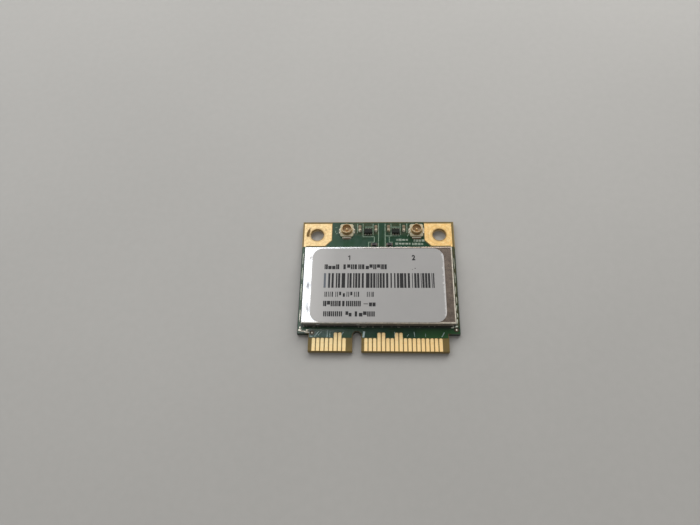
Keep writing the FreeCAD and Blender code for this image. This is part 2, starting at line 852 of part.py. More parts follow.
def make_shield_frame():
    """Folded frame with an inner rim, a pick-up bridge, snap holes and ports for two traces."""
    body = new_body("shield_frame")
    height = "(shield_height - sheet_thickness)"
    outline = new_sketch(body, "outline")
    draw_centred_box(outline, "0", "0", FRAME_WIDTH, FRAME_LENGTH)
    pad(body, outline, height)
    dress(body, "Fillet", "frame_corner_radius", is_upright)
    inside = new_sketch(body, "inside")
    draw_centred_box(
        inside, "0", "0", f"{FRAME_WIDTH} - 2 * sheet_thickness", f"{FRAME_LENGTH} - 2 * sheet_thickness"
    )
    pocket(body, inside, f"{height} - sheet_thickness", backwards=True)
    windows = new_sketch(body, "rim_windows")
    edge = f"({FRAME_WIDTH} / 2 - sheet_thickness - frame_rim_width)"
    deep = f"({FRAME_LENGTH} / 2 - sheet_thickness - frame_rim_width)"
    draw_box(windows, f"-{edge}", "-frame_bridge_width / 2", f"-{deep}", deep)
    draw_box(windows, "frame_bridge_width / 2", edge, f"-{deep}", deep)
    pocket(body, windows, backwards=True)
    for role, count, first, pitch, _ in dimple_rows():
        hole = new_sketch(body, "snap_hole", role)
        draw_centred_box(hole, first, "dimple_height", "dimple_length + 2 * dimple_hole_gap",
                         "dimple_width + 2 * dimple_hole_gap")
        cut = pocket(body, hole, centred=True)
        repeat(body, cut, hole, "H_Axis", count, pitch)
    ports = new_sketch(body, "trace_ports", "XZ_Plane")
    for number in (1, 2):
        port = filter_x(number)
        draw_box(ports, f"{port} - trace_port_width / 2", f"{port} + trace_port_width / 2",
                 "0", "trace_port_height")
    pocket(body, ports)
    move_body(body, "0", SHIELD_Y, GOLD_TOP)


def make_shield_lid():
    """Folded lid with open corners; its dimples snap into the holes of the frame."""
    body = new_body("shield_lid")
    outline = new_sketch(body, "outline", level="lid_skirt_gap")
    draw_centred_box(outline, "0", "0", LID_WIDTH, "lid_length")
    pad(body, outline, "shield_height - lid_skirt_gap")
    top = size_of("shield_height")
    dress(body, "Fillet", "lid_fold_radius", lambda edge: is_level_at(edge, top))
    slits = new_sketch(body, "corner_slits", level="lid_skirt_gap")
    slit = "lid_corner_slit"
    for side in (-1, 1):
        for end in (-1, 1):
            draw_centred_box(
                slits,
                f"{side} * ({LID_WIDTH} / 2 - {slit} / 2)",
                f"{end} * (lid_length / 2 - {slit} / 2)",
                slit,
                slit,
            )
    pocket(body, slits, "shield_height - lid_skirt_gap - sheet_thickness - lid_fold_radius",
           backwards=True)
    inside = new_sketch(body, "inside", level="lid_skirt_gap")
    draw_centred_box(
        inside, "0", "0", f"{LID_WIDTH} - 2 * sheet_thickness", "lid_length - 2 * sheet_thickness"
    )
    pocket(body, inside, "shield_height - lid_skirt_gap - sheet_thickness", backwards=True)
    for role, count, first, pitch, half in dimple_rows():
        for side in (-1, 1):
            bump = new_sketch(body, "bump", role, f"{side} * ({half} - sheet_thickness)")
            draw_centred_box(bump, first, "dimple_height", "dimple_length", "dimple_width")
            raised = pad(body, bump, "snap_gap + dimple_reach", backwards=side > 0)
            repeat(body, raised, bump, "H_Axis", count, pitch)
            dent = new_sketch(body, "dent", role, f"{side} * ({half})")
            draw_centred_box(dent, first, "dimple_height", "dimple_length", "dimple_width")
            sunk = pocket(body, dent, "dimple_reach", backwards=side < 0)
            repeat(body, sunk, dent, "H_Axis", count, pitch)
    move_body(body, "0", SHIELD_Y, GOLD_TOP)


def make_label():
    """Paper label on the lid, with round corners."""
    body = new_body("label")
    sketch = new_sketch(body, "outline", level=f"{GOLD_TOP} + shield_height")
    draw_box(
        sketch,
        f"label_left_margin - {LID_WIDTH} / 2",
        f"{LID_WIDTH} / 2 - label_right_margin",
        f"{SHIELD_Y} - lid_length / 2 + label_front_margin",
        f"{SHIELD_Y} + lid_length / 2 - label_back_margin",
    )
    pad(body, sketch, "label_thickness")
    dress(body, "Fillet", "label_corner_radius", is_upright)


def bevelled_chip(label, x, y, level, wide, deep, height, bevel):
    """A moulded chip body whose top edges are bevelled."""
    body = blocks(label, "0", height, (("0", "0", wide, deep),))
    top = size_of(height)
    dress(body, "Chamfer", bevel, lambda edge: is_level_at(edge, top))
    move_body(body, x, y, level)


def make_wifi_chip():
    """The radio chip: a moulded body on four rows of flat terminals and a heat pad."""
    bevelled_chip("wifi_chip", "0", SHIELD_Y, f"{MASK_TOP} + terminal_thickness",
                  "wifi_chip_width", "wifi_chip_width", "wifi_chip_height", "wifi_chip_chamfer")
    body = new_body("wifi_chip_terminals")
    heat_pad = new_sketch(body, "heat_pad")
    wide = "(wifi_chip_width - 2 * wifi_terminal_length - 2 * wifi_heat_pad_gap)"
    draw_centred_box(heat_pad, "0", "0", wide, wide)
    pad(body, heat_pad, "terminal_thickness")
    first = "(wifi_terminal_corner - wifi_chip_width / 2)"
    pitch = f"(-2 * {first} / (wifi_terminal_count - 1))"
    row = "(wifi_chip_width / 2 - wifi_terminal_length / 2)"
    for side in (-1, 1):
        for axis in ("H_Axis", "V_Axis"):
            sketch = new_sketch(body, "terminal")
            if axis == "H_Axis":
                draw_centred_box(
                    sketch, first, f"{side} * {row}", "wifi_terminal_width", "wifi_terminal_length"
                )
            else:
                draw_centred_box(
                    sketch, f"{side} * {row}", first, "wifi_terminal_length", "wifi_terminal_width"
                )
            terminal = pad(body, sketch, "terminal_thickness")
            repeat(body, terminal, sketch, axis, "wifi_terminal_count", pitch)
    move_body(body, "0", SHIELD_Y, MASK_TOP)


def make_crystal():
    """Ceramic case of the crystal and the metal cover on it."""
    y = f"({CAVITY_FRONT} + part_gap + crystal_length / 2)"
    case = blocks("crystal_case", MASK_TOP, "crystal_case_height",
                  ((CRYSTAL_X, y, "crystal_width", "crystal_length"),))
    dress(case, "Fillet", "crystal_corner_radius", is_upright)
    margin = "2 * crystal_cover_margin"
    cover = blocks("crystal_cover", f"{MASK_TOP} + crystal_case_height", "crystal_cover_height",
                   ((CRYSTAL_X, y, f"crystal_width - {margin}", f"crystal_length - {margin}"),))
    dress(cover, "Fillet", "crystal_corner_radius", is_upright)


def make_leaded_chip(name, x):
    """A moulded chip that stands on two rows of bent leads, by the front wall."""
    y = f"({CAVITY_FRONT} + part_gap + {LEAD_SPAN} + {name}_width / 2)"
    bevelled_chip(name, x, y, f"{MASK_TOP} + chip_stand_off",
                  f"{name}_length", f"{name}_width", f"{name}_height - chip_stand_off", "chip_chamfer")
    row = name.replace("_chip", "")
    body = new_body(f"{name}_leads")
    wall = f"({name}_width / 2)"
    knee = f"({wall} + lead_reach)"
    middle = f"({name}_height / 2)"
    first = f"(1 - {row}_lead_count) * {row}_lead_pitch / 2"
    sketch = new_sketch(body, "lead_section", "YZ_Plane", first)
    draw_outline(
        sketch,
        (
            (wall, middle),
            (wall, f"{middle} + lead_thickness"),
            (knee, f"{middle} + lead_thickness"),
            (knee, "lead_thickness"),
            (f"{knee} + lead_foot", "lead_thickness"),
            (f"{knee} + lead_foot", "0"),
            (f"{knee} - lead_thickness", "0"),
            (f"{knee} - lead_thickness", middle),
        ),
    )
    lead = pad(body, sketch, f"{row}_lead_width", centred=True)
    repeat(body, lead, sketch, "N_Axis", f"{row}_lead_count", f"{row}_lead_pitch")
    opposite = new_sketch(body, "opposite_lead_section", "YZ_Plane", first)
    draw_outline(
        opposite,
        (
            (f"-{wall}", middle),
            (f"-{wall}", f"{middle} + lead_thickness"),
            (f"-{knee}", f"{middle} + lead_thickness"),
            (f"-{knee}", "lead_thickness"),
            (f"-{knee} - lead_foot", "lead_thickness"),
            (f"-{knee} - lead_foot", "0"),
            (f"-{knee} + lead_thickness", "0"),
            (f"-{knee} + lead_thickness", middle),
        ),
    )
    facing = pad(body, opposite, f"{row}_lead_width", centred=True)
    repeat(body, facing, opposite, "N_Axis", f"{row}_lead_count", f"{row}_lead_pitch")
    move_body(body, x, y, MASK_TOP)


def make_inductor():
    """Power inductor: a moulded core with cut corners on two end terminals."""
    core = blocks("power_inductor", "0", "inductor_height",
                  (("0", "0", "inductor_width", "inductor_width"),))
    dress(core, "Chamfer", "inductor_corner_cut", is_upright)
    y = f"({CAVITY_FRONT} + part_gap + inductor_width / 2)"
    move_body(core, INDUCTOR_X, y, f"{MASK_TOP} + terminal_thickness")
    deep = "inductor_width - 2 * inductor_corner_cut"
    ends = []
    for side in (-1, 1):
        x = f"{INDUCTOR_X} + {side} * (inductor_width / 2 - inductor_terminal_length / 2)"
        ends.append((x, y, "inductor_terminal_length", deep))
    blocks("power_inductor_terminals", MASK_TOP, "terminal_thickness", ends)


def make_amplifiers():
    """Power amplifiers of the two antenna paths, each on a heat pad."""
    pads = []
    y = f"({CAVITY_BACK} - part_gap - amplifier_width / 2)"
    for number, x in ((1, MEMORY_X), (2, REGULATOR_X)):
        bevelled_chip(f"power_amplifier_{number}", x, y, f"{MASK_TOP} + terminal_thickness",
                      "amplifier_width", "amplifier_width", "amplifier_height", "chip_chamfer")
        pads.append((x, y, "amplifier_heat_pad_width", "amplifier_heat_pad_width"))
    blocks("power_amplifier_heat_pads", MASK_TOP, "terminal_thickness", pads)


def two_ended_parts(name, places, level, length, width, height, end):
    """Ceramic blocks with a metal cap at each end.

    Each place is a centre and whether the part lies along Y."""
    middles = []
    caps = []
    for x, y, along_y in places:
        middle = f"{length} - 2 * {end}"
        if along_y:
            middles.append((x, y, f"{width} - 2 * end_wrap", middle))
        else:
            middles.append((x, y, middle, f"{width} - 2 * end_wrap"))
        for side in (-1, 1):
            shift = f"{side} * ({length} / 2 - {end} / 2)"
            if along_y:
                caps.append((x, f"{y} + {shift}", width, end))
            else:
                caps.append((f"{x} + {shift}", y, end, width))
    blocks(f"{name}_bodies", level, f"{height} - end_wrap", middles)
    blocks(f"{name}_ends", level, height, caps)


def filter_x(number):
    """Where a band filter stands across the card, in line with its trace port."""
    return f"({2 * number - 3} * filter_spacing / 2)"


def make_shielded_parts():
    """Band filters, decoupling capacitors and resistors under the shield."""
    filter_y = f"({CAVITY_BACK} - part_gap - filter_width / 2)"
    filters = [(filter_x(number), filter_y, False) for number in (1, 2)]
    two_ended_parts("band_filter", filters, MASK_TOP, "filter_length", "filter_width",
                    "filter_height", "filter_end")
    capacitor_y = f"({CAVITY_FRONT} + part_gap + chip_part_length / 2)"
    capacitors = []
    for step in range(int(size_of("capacitor_count"))):
        x = f"({step} - (capacitor_count - 1) / 2) * capacitor_pitch"
        capacitors.append((x, capacitor_y, True))
    two_ended_parts("decoupling_capacitor", capacitors, MASK_TOP, "chip_part_length",
                    "chip_part_width", "chip_part_height", "chip_part_end")
    resistors = []
    for step in range(int(size_of("resistor_count"))):
        y = f"{CAVITY_BACK} - part_gap - chip_part_width / 2 - {step} * resistor_pitch"
        resistors.append((INDUCTOR_X, y, False))
    two_ended_parts("bias_resistor", resistors, MASK_TOP, "chip_part_length", "chip_part_width",
                    "resistor_height", "chip_part_end")


def between_jacks(share):
    """A place across the card, by its share of the way from jack 1 to jack 2."""
    return f"({JACK_X[1]} + {share} * ({JACK_X[2]} - {JACK_X[1]}))"


def matching_places():
    """Capacitors between the jacks, all along Y."""
    y = f"({BACK} - matching_back_gap - chip_part_length / 2)"
    return [(between_jacks(f"matching_{number}_share"), y, True) for number in (1, 2, 3, 4)]


def side_resistor_places():
    """Resistors just behind the shield, along X."""
    y = f"({SHIELD_Y} + lid_length / 2 + side_resistor_gap + chip_part_width / 2)"
    return [(between_jacks(f"side_resistor_{number}_share"), y, False) for number in (1, 2)]


SWITCH_Y = f"({BACK} - switch_back_gap - switch_lead_length - switch_width / 2)"


def switch_leads():
    """Flat leads of both antenna switches."""
    leads = []
    for number in (1, 2):
        for side in (-1, 1):
            y = f"{SWITCH_Y} + {side} * (switch_width / 2 + switch_lead_length / 2)"
            for step in range(int(size_of("switch_lead_count"))):
                middle = between_jacks(f"switch_{number}_share")
                x = f"{middle} + ({step} - (switch_lead_count - 1) / 2) * switch_lead_pitch"
                leads.append((x, y, "switch_lead_width", "switch_lead_length"))
    return leads


def outside_lands():
    """Lands of the parts at the antenna end: the jacks, capacitors, resistors and switches."""
    lands = []
    strap_land = "(strap_thickness + strap_foot + joint_reach + land_margin)"
    for number in (1, 2):
        x = JACK_X[number]
        for side in (-1, 1):
            centre = f"{x} + {side} * ({JACK_HALF} - {strap_land} / 2)"
            lands.append((centre, JACK_Y, strap_land, "strap_width + land_margin"))
        foot_y = f"{JACK_Y} - jack_base_length / 2 - pin_foot_length / 2"
        lands.append((x, foot_y, "pin_foot_width + land_margin", "pin_foot_length + land_margin"))
    cap_land = "(chip_part_end + land_margin)"
    reach = f"(chip_part_length / 2 + land_margin - {cap_land} / 2)"
    for x, y, _ in matching_places():
        for side in (-1, 1):
            lands.append((x, f"{y} + {side} * {reach}", "chip_part_width + land_margin", cap_land))
    for x, y, _ in side_resistor_places():
        for side in (-1, 1):
            lands.append((f"{x} + {side} * {reach}", y, cap_land, "chip_part_width + land_margin"))
    for x, y, wide, deep in switch_leads():
        lands.append((x, y, f"{wide} + land_margin / 2", deep))
    return lands


def make_antenna_end_parts():
    """Small parts that stay in sight between the jacks and behind the shield."""
    blocks("component_lands", LAMINATE_TOP, "gold_thickness", outside_lands())
    two_ended_parts("matching_capacitor", matching_places(), GOLD_TOP, "chip_part_length",
                    "chip_part_width", "chip_part_height", "chip_part_end")
    two_ended_parts("side_resistor", side_resistor_places(), GOLD_TOP, "chip_part_length",
                    "chip_part_width", "resistor_height", "chip_part_end")
    for number in (1, 2):
        x = between_jacks(f"switch_{number}_share")
        bevelled_chip(f"antenna_switch_{number}", x, SWITCH_Y, GOLD_TOP, "switch_length",
                      "switch_width", "switch_height", "end_wrap")
    blocks("antenna_switch_leads", GOLD_TOP, "lead_thickness", switch_leads())


def draw_fiducials(sketch, radius):
    """One round on the tongue's left shoulder and one on the right wing."""
    tongue_x = f"-({TONGUE_SIDE} - tongue_fiducial_inset)"
    wing_x = f"{SIDE} - wing_fiducial_inset"
    draw_circle(sketch, tongue_x, f"{WING} + tongue_fiducial_rise", radius)
    draw_circle(sketch, wing_x, f"{WING} + wing_fiducial_rise", radius)


def make_fiducials():
    """Bare copper dots for placing the parts."""
    body = new_body("fiducial_dots")
    sketch = new_sketch(body, "dots", level=LAMINATE_TOP)
    draw_fiducials(sketch, "fiducial_radius")
    pad(body, sketch, "gold_thickness")


def draw_test_pads(sketch):
    """A straight row of square pads across the middle of the card."""
    for step in range(int(size_of("test_pad_count"))):
        x = f"({step} - (test_pad_count - 1) / 2) * test_pad_pitch"
        draw_centred_box(sketch, x, f"{BACK} - test_pad_inset", "test_pad_side", "test_pad_side")


def make_test_pads():
    """Square gold test pads on the underside."""
    body = new_body("underside_test_pads")
    sketch = new_sketch(body, "squares")
    draw_test_pads(sketch)
    pad(body, sketch, "gold_thickness")


def make_card():
    """Every piece of the card, from the board up."""
    make_circuit_board()
    make_solder_mask_top()
    make_solder_mask_underside()
    make_contacts("top_contacts_short_row", SHORT_ROW_RUNS, SHORT_ROW_START, LAMINATE_TOP)
    make_contacts("top_contacts_long_row", LONG_ROW_RUNS, LONG_ROW_START, LAMINATE_TOP)
    make_contacts("underside_contacts_short_row", UNDERSIDE_SHORT_RUNS,
                  f"{SHORT_ROW_START} + underside_shift", "0")
    make_contacts("underside_contacts_long_row", UNDERSIDE_LONG_RUNS,
                  f"{LONG_ROW_START} + underside_shift", "0")
    make_mounting_pad("mounting_pad_left", -1)
    make_mounting_pad("mounting_pad_right", 1)
    for number in (1, 2):
        make_jack_base(f"antenna_jack_{number}_base", number)
        make_jack_ring(f"antenna_jack_{number}_ring", number)
        make_jack_pin(f"antenna_jack_{number}_pin", number)
        make_jack_solder(f"antenna_jack_{number}_solder", number)
    make_shield_track()
    make_shield_frame()
    make_shield_lid()
    make_label()
    make_wifi_chip()
    make_crystal()
    make_leaded_chip("memory_chip", MEMORY_X)
    make_leaded_chip("regulator", REGULATOR_X)
    make_inductor()
    make_amplifiers()
    make_shielded_parts()
    make_antenna_end_parts()
    make_fiducials()
    make_test_pads()


def check_and_export():
    """Refuse any failed object or bad shape, then write one file for each piece."""
    DOC.recompute()
    for item in DOC.Objects:
        if "Invalid" in item.State or "Error" in item.State:
            raise RuntimeError(f"{item.Label} failed: {item.State}")
    os.makedirs("parts", exist_ok=True)
    for piece in PIECES:
        if piece.Shape.isNull() or not piece.Shape.isValid():
            raise RuntimeError(f"{piece.Label} has no valid shape")
    for piece in PIECES:
        piece.Shape.exportStep(f"parts/{piece.Label}.step")
        print(f"{piece.Label}: {len(piece.Shape.Solids)} solids, {piece.Shape.Volume:.4f} mm3")


fill_sheet()
make_card()
check_and_export()
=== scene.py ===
"""Laptop wifi card: finishes, print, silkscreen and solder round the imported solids."""
import math
import random

import bmesh
import bpy
from mathutils import Matrix, Vector


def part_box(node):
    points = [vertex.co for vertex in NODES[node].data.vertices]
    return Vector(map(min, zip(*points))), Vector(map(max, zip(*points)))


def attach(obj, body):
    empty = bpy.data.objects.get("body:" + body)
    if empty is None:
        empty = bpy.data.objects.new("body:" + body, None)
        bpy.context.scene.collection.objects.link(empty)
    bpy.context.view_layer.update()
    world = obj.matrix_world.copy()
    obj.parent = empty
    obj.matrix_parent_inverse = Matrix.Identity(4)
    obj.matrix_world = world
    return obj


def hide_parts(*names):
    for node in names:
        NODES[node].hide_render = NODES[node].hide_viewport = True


bl_info = {
    "name": "Laptop Wifi Card",
    "version": (1, 0, 0),
    "blender": (4, 5, 0),
    "location": "3D View > Sidebar > Wifi Card",
    "description": "Dresses the solids of a half-size laptop wifi card",
    "category": "Object",
}

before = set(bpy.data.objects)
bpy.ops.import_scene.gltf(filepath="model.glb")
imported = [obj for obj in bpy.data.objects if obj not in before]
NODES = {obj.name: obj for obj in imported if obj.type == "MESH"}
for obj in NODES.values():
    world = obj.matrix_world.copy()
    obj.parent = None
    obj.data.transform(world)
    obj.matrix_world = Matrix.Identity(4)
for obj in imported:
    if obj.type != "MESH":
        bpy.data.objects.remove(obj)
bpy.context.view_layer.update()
MM = 0.001


def top_of(node):
    """The height of a CAD node's top face, in metres."""
    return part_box(node)[1][2]


def middle_of(node):
    """The middle of a CAD node's box, in metres."""
    return [(low + high) / 2 for low, high in zip(*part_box(node))]


def length(name, description, millimetres):
    """A length property; its default is given in millimetres."""
    return bpy.props.FloatProperty(
        name=name, description=description, default=millimetres * MM, min=0.0, precision=6,
        unit="LENGTH",
    )


def colour(name, description, red, green, blue):
    """A colour property; its default is given as it shows on a screen, from 0 to 255."""
    return bpy.props.FloatVectorProperty(
        name=name, description=description, default=(red / 255, green / 255, blue / 255), size=3,
        min=0.0, max=1.0, subtype="COLOR_GAMMA",
    )


class WifiCardSizes(bpy.types.PropertyGroup):
    """Sizes of what the scene adds to the solids."""

    ink: length("Ink thickness", "Height of the print", 0.004)
    digit_2: length("Digit 2 height", "Height of the digit 2", 1.15)
    bar_module: length("Bar module", "Width of the narrowest bar", 0.135)
    silk_line: length("Silkscreen line", "Width of the lines on the solder mask", 0.13)
    bead_width: length("Bead width", "Width of the solder beads beside a jack", 0.56)
    bead_length: length("Bead length", "Length of the solder beads beside a jack", 0.72)
    bead_height: length("Bead height", "Height of the solder beads", 0.38)
    floor_width: length("Floor width", "Width of the plain floor", 3000.0)
    camera_distance: length("Camera distance", "From the camera to its target", 110.988)


class WifiCardColours(bpy.types.PropertyGroup):
    """Colours of the finishes."""

    laminate: colour("Laminate", "Bare glass fibre board", 108, 89, 32)
    laminate_dark: colour("Laminate, dark", "Resin between the contacts", 66, 52, 20)
    # The cut edge is paler than the top face, as painted light; beside the shield it is dark
    # grey-green, as painted shade
    laminate_edge_painted_light: colour("Laminate edge", "Cut edge of the board", 136, 116, 66)
    edge_painted_shade: colour("Lacquered edge", "Cut edge beside the shield", 46, 60, 50)
    # The hole wall's two colours are painted light: paler than the laminate, and palest at the
    # wall's foot, to lift the wall out of its shade
    hole_wall_painted_light: colour("Hole wall", "Wall of a screw hole", 144, 116, 58)
    hole_foot_painted_light: colour("Hole wall, low", "Foot of the hole wall", 196, 180, 148)
    mask: colour("Solder mask", "Green skin of the board", 29, 60, 38)
    # Painted shade on the mask beside the left jack
    mask_painted_shade: colour("Mask, deep", "Mask beside the left jack", 14, 72, 42)
    mask_blue: colour("Mask, blue", "Mask near the tongue", 56, 86, 98)
    mask_teal: colour("Mask, teal", "Mask over a copper plane", 38, 70, 58)
    mask_leaf: colour("Mask, leaf green", "Mask at the right front", 44, 84, 44)
    mask_flux: colour("Mask under flux", "Mask under old flux", 84, 80, 58)
    # The left and right golds differ by painted light: paler where the left of the card is lit
    gold_left: colour("Gold, left", "Plating at the left", 228, 198, 146)
    gold_right: colour("Gold, right", "Plating at the right", 244, 200, 126)
    contact_left: colour("Contacts, left", "Wiped gold at the left", 255, 230, 172)
    contact_right: colour("Contacts, right", "Wiped gold at the right", 255, 219, 155)
    gold_worn: colour("Gold, worn", "Where a screw marked the gold", 98, 70, 10)
    jack_plastic: colour("Jack base", "Base of the antenna jacks", 186, 178, 150)
    jack_metal: colour("Jack ring", "Ring of the antenna jacks", 214, 192, 152)
    # Painted shade: browner inside the rings and darker down their outer walls
    jack_hollow_painted_shade: colour("Jack inside", "Plating inside the rings", 188, 156, 106)
    jack_wall_painted_shade: colour("Jack wall", "Outer wall of the rings", 158, 132, 88)
    # Painted reflection of the ring on the moulding inside it
    jack_floor_painted_reflection: colour("Jack floor", "Moulding inside the rings", 218, 190, 150)
    solder: colour("Solder", "Beads beside the jacks", 255, 251, 236)
    tin: colour("Tin", "Tinned ends and lands", 226, 216, 190)
    flux: colour("Flux", "Flux over the tinned ends", 104, 84, 60)
    # The shield's two base colours differ by painted reflection tint: cool at the left, warmer at
    # the right
    steel_left: colour("Shield, left", "Tinned sheet at the left", 214, 218, 223)
    seam: colour("Shield seam", "Solder of the shield", 46, 54, 48)
    steel: colour("Shield", "Tinned steel of the shield", 216, 199, 185)
    # Painted highlight along the lid's folds
    fold_painted_highlight: colour("Shield folds", "Rubbed tin along the folds", 222, 216, 200)
    paper: colour("Label", "Paper of the label", 164, 163, 162)
    ink: colour("Ink", "Print on the label", 14, 14, 17)
    ink_faded: colour("Ink, faded", "Rubbed print at the left", 94, 100, 108)
    silk: colour("Silkscreen", "Lines on the mask", 138, 160, 140)
    track: colour("Tracks", "Tracks in front of the shield", 176, 196, 196)
    bits: colour("Solder bits", "Solder along the edges", 210, 216, 200)
    lead: colour("Chip leads", "Tin of the small chips", 148, 146, 134)
    marks: colour("Plain marks", "Plain blocks on the mask", 150, 160, 146)
    switch: colour("Small chips", "Antenna switches", 30, 34, 30)
    chip: colour("Chip", "Black moulding", 36, 37, 34)
    ceramic: colour("Capacitor", "Brown ceramic", 104, 92, 68)
    resistor: colour("Resistor", "Dark glaze", 38, 36, 40)
    crystal: colour("Crystal case", "Pale ceramic", 190, 182, 160)
    core: colour("Inductor core", "Grey ferrite", 78, 76, 76)
    floor: colour("Floor", "Plain pale floor", 172, 171, 168)


def sizes():
    """The sizes as they are set in the scene."""
    return bpy.context.scene.wifi_card_sizes


def tint(name, strength=1.0):
    """A colour of the panel as linear values with an alpha."""
    values = getattr(bpy.context.scene.wifi_card_colours, name)
    linear = [value / 12.92 if value <= 0.04045 else ((value + 0.055) / 1.055) ** 2.4
              for value in values]
    return (*(min(1.0, value * strength) for value in linear), 1.0)


# Mix nodes have sockets of one name for each data type, so colours go by their place
MIX_FIRST, MIX_SECOND, MIX_RESULT = 6, 7, 2


class Finish:
    """A procedural material on Object coordinates: a plain colour under coats of others."""

    def __init__(self, name, color):
        self.material = bpy.data.materials.new(f"{name}_finish")
        self.material.use_nodes = True
        self.tree = self.material.node_tree
        self.shader = self.tree.nodes["Principled BSDF"]
        self.place = self.tree.nodes.new("ShaderNodeTexCoord").outputs["Object"]
        self.color = color

    def set(self, socket, value):
        """Sets or links one socket of the shader."""
        self.feed(self.shader.inputs[socket], value)

    def feed(self, socket, value):
        """Gives a socket a value, a colour of the panel by its name, or another node's output."""
        if isinstance(value, bpy.types.NodeSocket):
            self.tree.links.new(value, socket)
        else:
            socket.default_value = tint(value) if isinstance(value, str) else value

    def coat(self, color, *shares):
        """Lays a colour over what is there, by the product of its shares."""
        self.color = self.mix(self.times(*shares), self.color, color)
        self.set("Base Color", self.color)

    def mix(self, share, first, second):
        """A colour between two, by a share from 0 to 1."""
        node = self.tree.nodes.new("ShaderNodeMix")
        node.data_type = "RGBA"
        for place, value in ((0, share), (MIX_FIRST, first), (MIX_SECOND, second)):
            self.feed(node.inputs[place], value)
        return node.outputs[MIX_RESULT]

    def math(self, operation, first, second=0.0):
        """One Math node."""
        node = self.tree.nodes.new("ShaderNodeMath")
        node.operation = operation
        self.feed(node.inputs[0], first)
        self.feed(node.inputs[1], second)
        return node.outputs["Value"]

    def times(self, first, *others):
        """The product of several values."""
        for other in others:
            first = self.math("MULTIPLY", first, other)
        return first

    def most(self, first, *others):
        """The largest of several values."""
        for other in others:
            first = self.math("MAXIMUM", first, other)
        return first

    def spread(self, value, low, high, to_low=0.0, to_high=1.0):
        """Turns the range from low to high into another, and keeps to it."""
        node = self.tree.nodes.new("ShaderNodeMapRange")
        numbers = (("From Min", low), ("From Max", high), ("To Min", to_low), ("To Max", to_high))
        for socket, number in (("Value", value), *numbers):
            self.feed(node.inputs[socket], number)
        return node.outputs["Result"]

    def ramp(self, place, low, high, to_low=0.0, to_high=1.0, at=0.0):
        """Spreads an axis, by its name, or a distance; its range is in millimetres from a place."""
        value = self.axis(place) if isinstance(place, str) else place
        return self.spread(value, at + low * MM, at + high * MM, to_low, to_high)

    def band(self, place, *ends, at=0.0):
        """A rise and a fall along an axis or a distance, by their four ends in millimetres."""
        rise, full, over, fall = ends
        return self.times(self.ramp(place, rise, full, at=at), self.ramp(place, fall, over, at=at))

    def axis(self, name):
        """One of the X, Y and Z coordinates, in metres."""
        split = self.tree.nodes.new("ShaderNodeSeparateXYZ")
        self.tree.links.new(self.place, split.inputs["Vector"])
        return split.outputs[name]

    def distance(self, x, y, mirrored=False):
        """Distance across the card from a point, or from the nearer of it and its mirror image."""
        across = self.math("ABSOLUTE", self.axis("X")) if mirrored else self.axis("X")
        across = self.math("SUBTRACT", across, x)
        along = self.math("SUBTRACT", self.axis("Y"), y)
        squares = self.math("ADD", self.times(across, across), self.times(along, along))
        return self.math("SQRT", squares)

    def spot(self, x, y, inner, outer, depth=1.0):
        """A round spot at a point in metres, full within one radius and gone past the other."""
        return self.ramp(self.distance(x, y), outer, inner, 0.0, depth)

    def noise(self, size, detail=3, stretch=(1, 1, 1), rough=0.5):
        """Noise with blotches of a size in millimetres, longer along a stretched axis."""
        mapping = self.tree.nodes.new("ShaderNodeMapping")
        mapping.inputs["Scale"].default_value = [1.0 / (size * MM * part) for part in stretch]
        self.tree.links.new(self.place, mapping.inputs["Vector"])
        noise = self.tree.nodes.new("ShaderNodeTexNoise")
        noise.inputs["Scale"].default_value = 1.0
        noise.inputs["Detail"].default_value = detail
        noise.inputs["Roughness"].default_value = rough
        self.tree.links.new(mapping.outputs["Vector"], noise.inputs["Vector"])
        return noise.outputs["Fac"]

    def patches(self, size, low, high, to_low=0.0, to_high=1.0, **grain):
        """Spreads noise of one size; grain is its detail, stretch and roughness."""
        return self.spread(self.noise(size, **grain), low, high, to_low, to_high)

    def polish(self, noise, low, high):
        """Lets the roughness follow a noise over its usual range."""
        self.set("Roughness", self.spread(noise, 0.3, 0.7, low, high))

    def bump(self, height, depth, strength=1.0):
        """Relief of a depth in millimetres."""
        node = self.tree.nodes.new("ShaderNodeBump")
        node.inputs["Strength"].default_value = strength
        node.inputs["Distance"].default_value = depth * MM
        self.tree.links.new(height, node.inputs["Height"])
        self.tree.links.new(node.outputs["Normal"], self.shader.inputs["Normal"])


# The right screw hole's middle, in metres, and the radius of both, in millimetres
HOLE_PLACE = (12.1 * MM, 10.5 * MM)
HOLE_RADIUS = 1.3
# Radius of a bare dot, in metres, and of the ring round it that is free of mask, in millimetres
DOT_RADIUS = 0.16 * MM
DOT_RING = 0.42


def dots():
    """Middles of the bare dots: the tongue's at the left front, the wing's at the right back."""
    low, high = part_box("fiducial_dots")
    return (low[0] + DOT_RADIUS, low[1] + DOT_RADIUS), (high[0] - DOT_RADIUS, high[1] - DOT_RADIUS)


